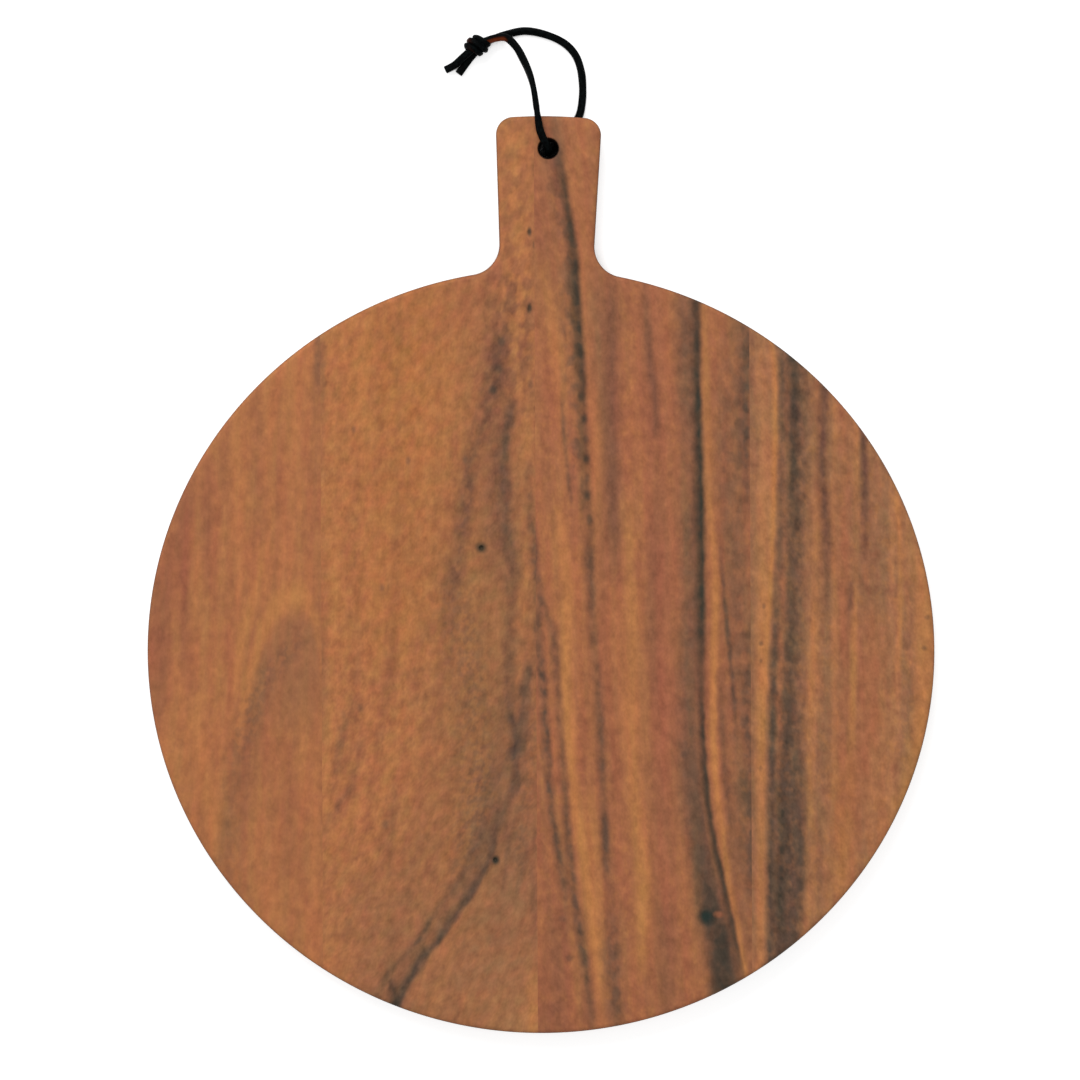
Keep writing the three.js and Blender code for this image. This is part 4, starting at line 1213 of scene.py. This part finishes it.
def draw_arch(wood, colour):
    """A browner oval, open below, with a gold rim round it."""
    offset = wood.math("SUBTRACT", wood.x, ARCH_CENTRE[0])
    left = wood.math("DIVIDE", offset, -ARCH_LEFT)
    right = wood.math("DIVIDE", offset, ARCH_RIGHT)
    rise = wood.math("DIVIDE", wood.math("SUBTRACT", wood.y, ARCH_CENTRE[1]), ARCH_RISE)
    reach = wood.combine(wood.math("MAXIMUM", left, right), wood.math("MAXIMUM", rise, 0.0), 0.0)
    ring = wood.length(reach)
    inside = wood.times(wood.ramp(ring, *ARCH_INSIDE), wood.ramp(wood.y, *ARCH_INSIDE_RISE))
    inside = wood.times(inside, wood.ramp(wood.x, *ARCH_INSIDE_SEAM))
    colour = wood.mix(inside, colour, BROWN)
    from_rim = wood.math("ABSOLUTE", wood.math("SUBTRACT", ring, ARCH_RIM))
    rim = wood.times(wood.ramp(from_rim, *ARCH_RIM_FADE), wood.ramp(wood.y, *ARCH_RIM_RISE))
    rim = wood.times(rim, wood.ramp(wood.x, *ARCH_RIM_SEAM))
    return wood.mix(rim, colour, GOLD)


def draw_streak(wood, colour, streak, blots):
    middles = [(fraction(y, ROW_SPAN), fraction(x, COLUMN_SPAN)) for x, y, strength in streak.points]
    strengths = [(fraction(y, ROW_SPAN), strength) for x, y, strength in streak.points]
    width = COLUMN_SPAN[1] - COLUMN_SPAN[0]
    offset = wood.math("SUBTRACT", wood.column, wood.curve(wood.row, middles))
    left = wood.times(offset, -width / streak.left)
    right = wood.times(offset, width / streak.right)
    mask = wood.ramp(wood.math("MAXIMUM", left, right), 0.0, STREAK_SOFTNESS, 1.0, 0.0)
    mask = wood.times(mask, wood.curve(wood.row, strengths))
    least = 1 - streak.broken
    ends = (1.0, least) if streak.tone[1] < PALE_TONE else (least, 1.0)
    kept = wood.ramp(blots, *BLOT_RANGE, *ends)
    return wood.mix(wood.times(mask, kept), colour, streak.tone)


def draw_spot(wood, colour, spot):
    offset = wood.vector("SUBTRACT", wood.place, (spot.x, spot.y, BOARD_THICKNESS))
    scaled = wood.vector("MULTIPLY", offset, (1 / spot.half_width, 1 / spot.half_length, 1 / SPOT_DEPTH))
    reach = wood.math("ADD", wood.length(scaled), wood.straight(wood.fray, 0, 1, -SPOT_FRAY, SPOT_FRAY))
    mask = wood.ramp(reach, SPOT_CORE, SPOT_EDGE, spot.strength, 0.0)
    return wood.mix(mask, colour, spot.tone)


def draw_figure(wood, colour):
    """The stave's arch, streaks and spots, each over those before it."""
    if wood.figure.arch:
        colour = draw_arch(wood, colour)
    for streaks, noise in ((wood.figure.streaks, BLOTS), (wood.figure.dotted, DOTS)):
        blots = wood.grain(noise)
        for streak in streaks:
            colour = draw_streak(wood, colour, streak, blots)
    for spot in wood.figure.spots:
        colour = draw_spot(wood, colour, spot)
    return colour


def paint_bore_shade(wood, colour):
    """The hole's wall is painted black as shade, and its rounded mouth fades from that painted shade to
    wood.
    """
    from_hole = wood.vector("SUBTRACT", wood.place, (0, hole_y, 0))
    from_hole = wood.vector("MULTIPLY", from_hole, (1, 1, 0))
    start, finish = [HOLE_DIAMETER / 2 + reach for reach in BORE_EDGE]
    bore_shade = wood.ramp(wood.length(from_hole), start, finish, BORE_STRENGTH, 0.0)
    return wood.mix(bore_shade, colour, BORE_PAINTED_SHADE)


def paint_edge_shade_and_grain(wood, colour):
    """Paints shade on the rounded edges and sides with a slight painted highlight near the top, shades the
    wood's own flecks, strands, fibres and pores, and shifts the hue a little.
    """
    mottle = wood.figure.mottle
    facing = wood.add("ShaderNodeSeparateXYZ", {0: wood.add("ShaderNodeNewGeometry", output="Normal")})
    # painted shade and highlight on the rounded edge and side, by which way the surface faces
    painted_shade_and_grain = wood.curve(wood.math("ABSOLUTE", facing.node.outputs[2]), PAINTED_EDGE_SHADE_AND_HIGHLIGHT)
    green = wood.add("ShaderNodeSeparateColor", {0: colour}, output="Green")
    swing = wood.ramp(green, LIGHT_WOOD, DARK_WOOD, LIGHT_SWING * mottle, DARK_SWING * mottle)
    fleck = wood.straight(wood.grain(FLECKS), *NOISE_SPAN, -1.0, 1.0)
    shadings = (
        wood.math("MULTIPLY_ADD", swing, fleck, 1.0),
        wood.straight(wood.grain(STRANDS), *NOISE_SPAN, *STRAND_SHADES),
        wood.straight(wood.fibres, *FIBRE_SPAN, *FIBRE_SHADES),
        wood.ramp(wood.pores, *PORE_SHADES),
    )
    for shading in shadings:
        painted_shade_and_grain = wood.times(painted_shade_and_grain, shading)
    hues = wood.grain(Grain(HUE_ACROSS, wood.figure.hue_run, detail=1, sheared=True))
    redder = wood.times(painted_shade_and_grain, wood.straight(hues, *NOISE_SPAN, *HUE_SHADES))
    greener = wood.times(painted_shade_and_grain, wood.straight(hues, *NOISE_SPAN, *reversed(HUE_SHADES)))
    return wood.mix(1.0, colour, wood.combine(redder, greener, painted_shade_and_grain), "MULTIPLY")


def wood_material(name):
    material, wood = new_material(f"wood_{name}", WoodGraph, STAVE_FIGURES[name])
    colour = draw_figure(wood, banded_colour(wood))
    # the handle's staves get painted shade in the hole
    if name in HANDLE_STAVES:
        colour = paint_bore_shade(wood, colour)
    colour = paint_edge_shade_and_grain(wood, colour)
    rough = wood.straight(wood.fibres, *NOISE_SPAN, *WOOD_ROUGHNESS)
    height = wood.math("ADD", wood.times(wood.pores, PORE_HEIGHT), wood.times(wood.fibres, FIBRE_HEIGHT))
    finish_surface(wood, colour, rough, WOOD_RELIEF, height, WOOD_SHEEN)
    return material


add_staves()
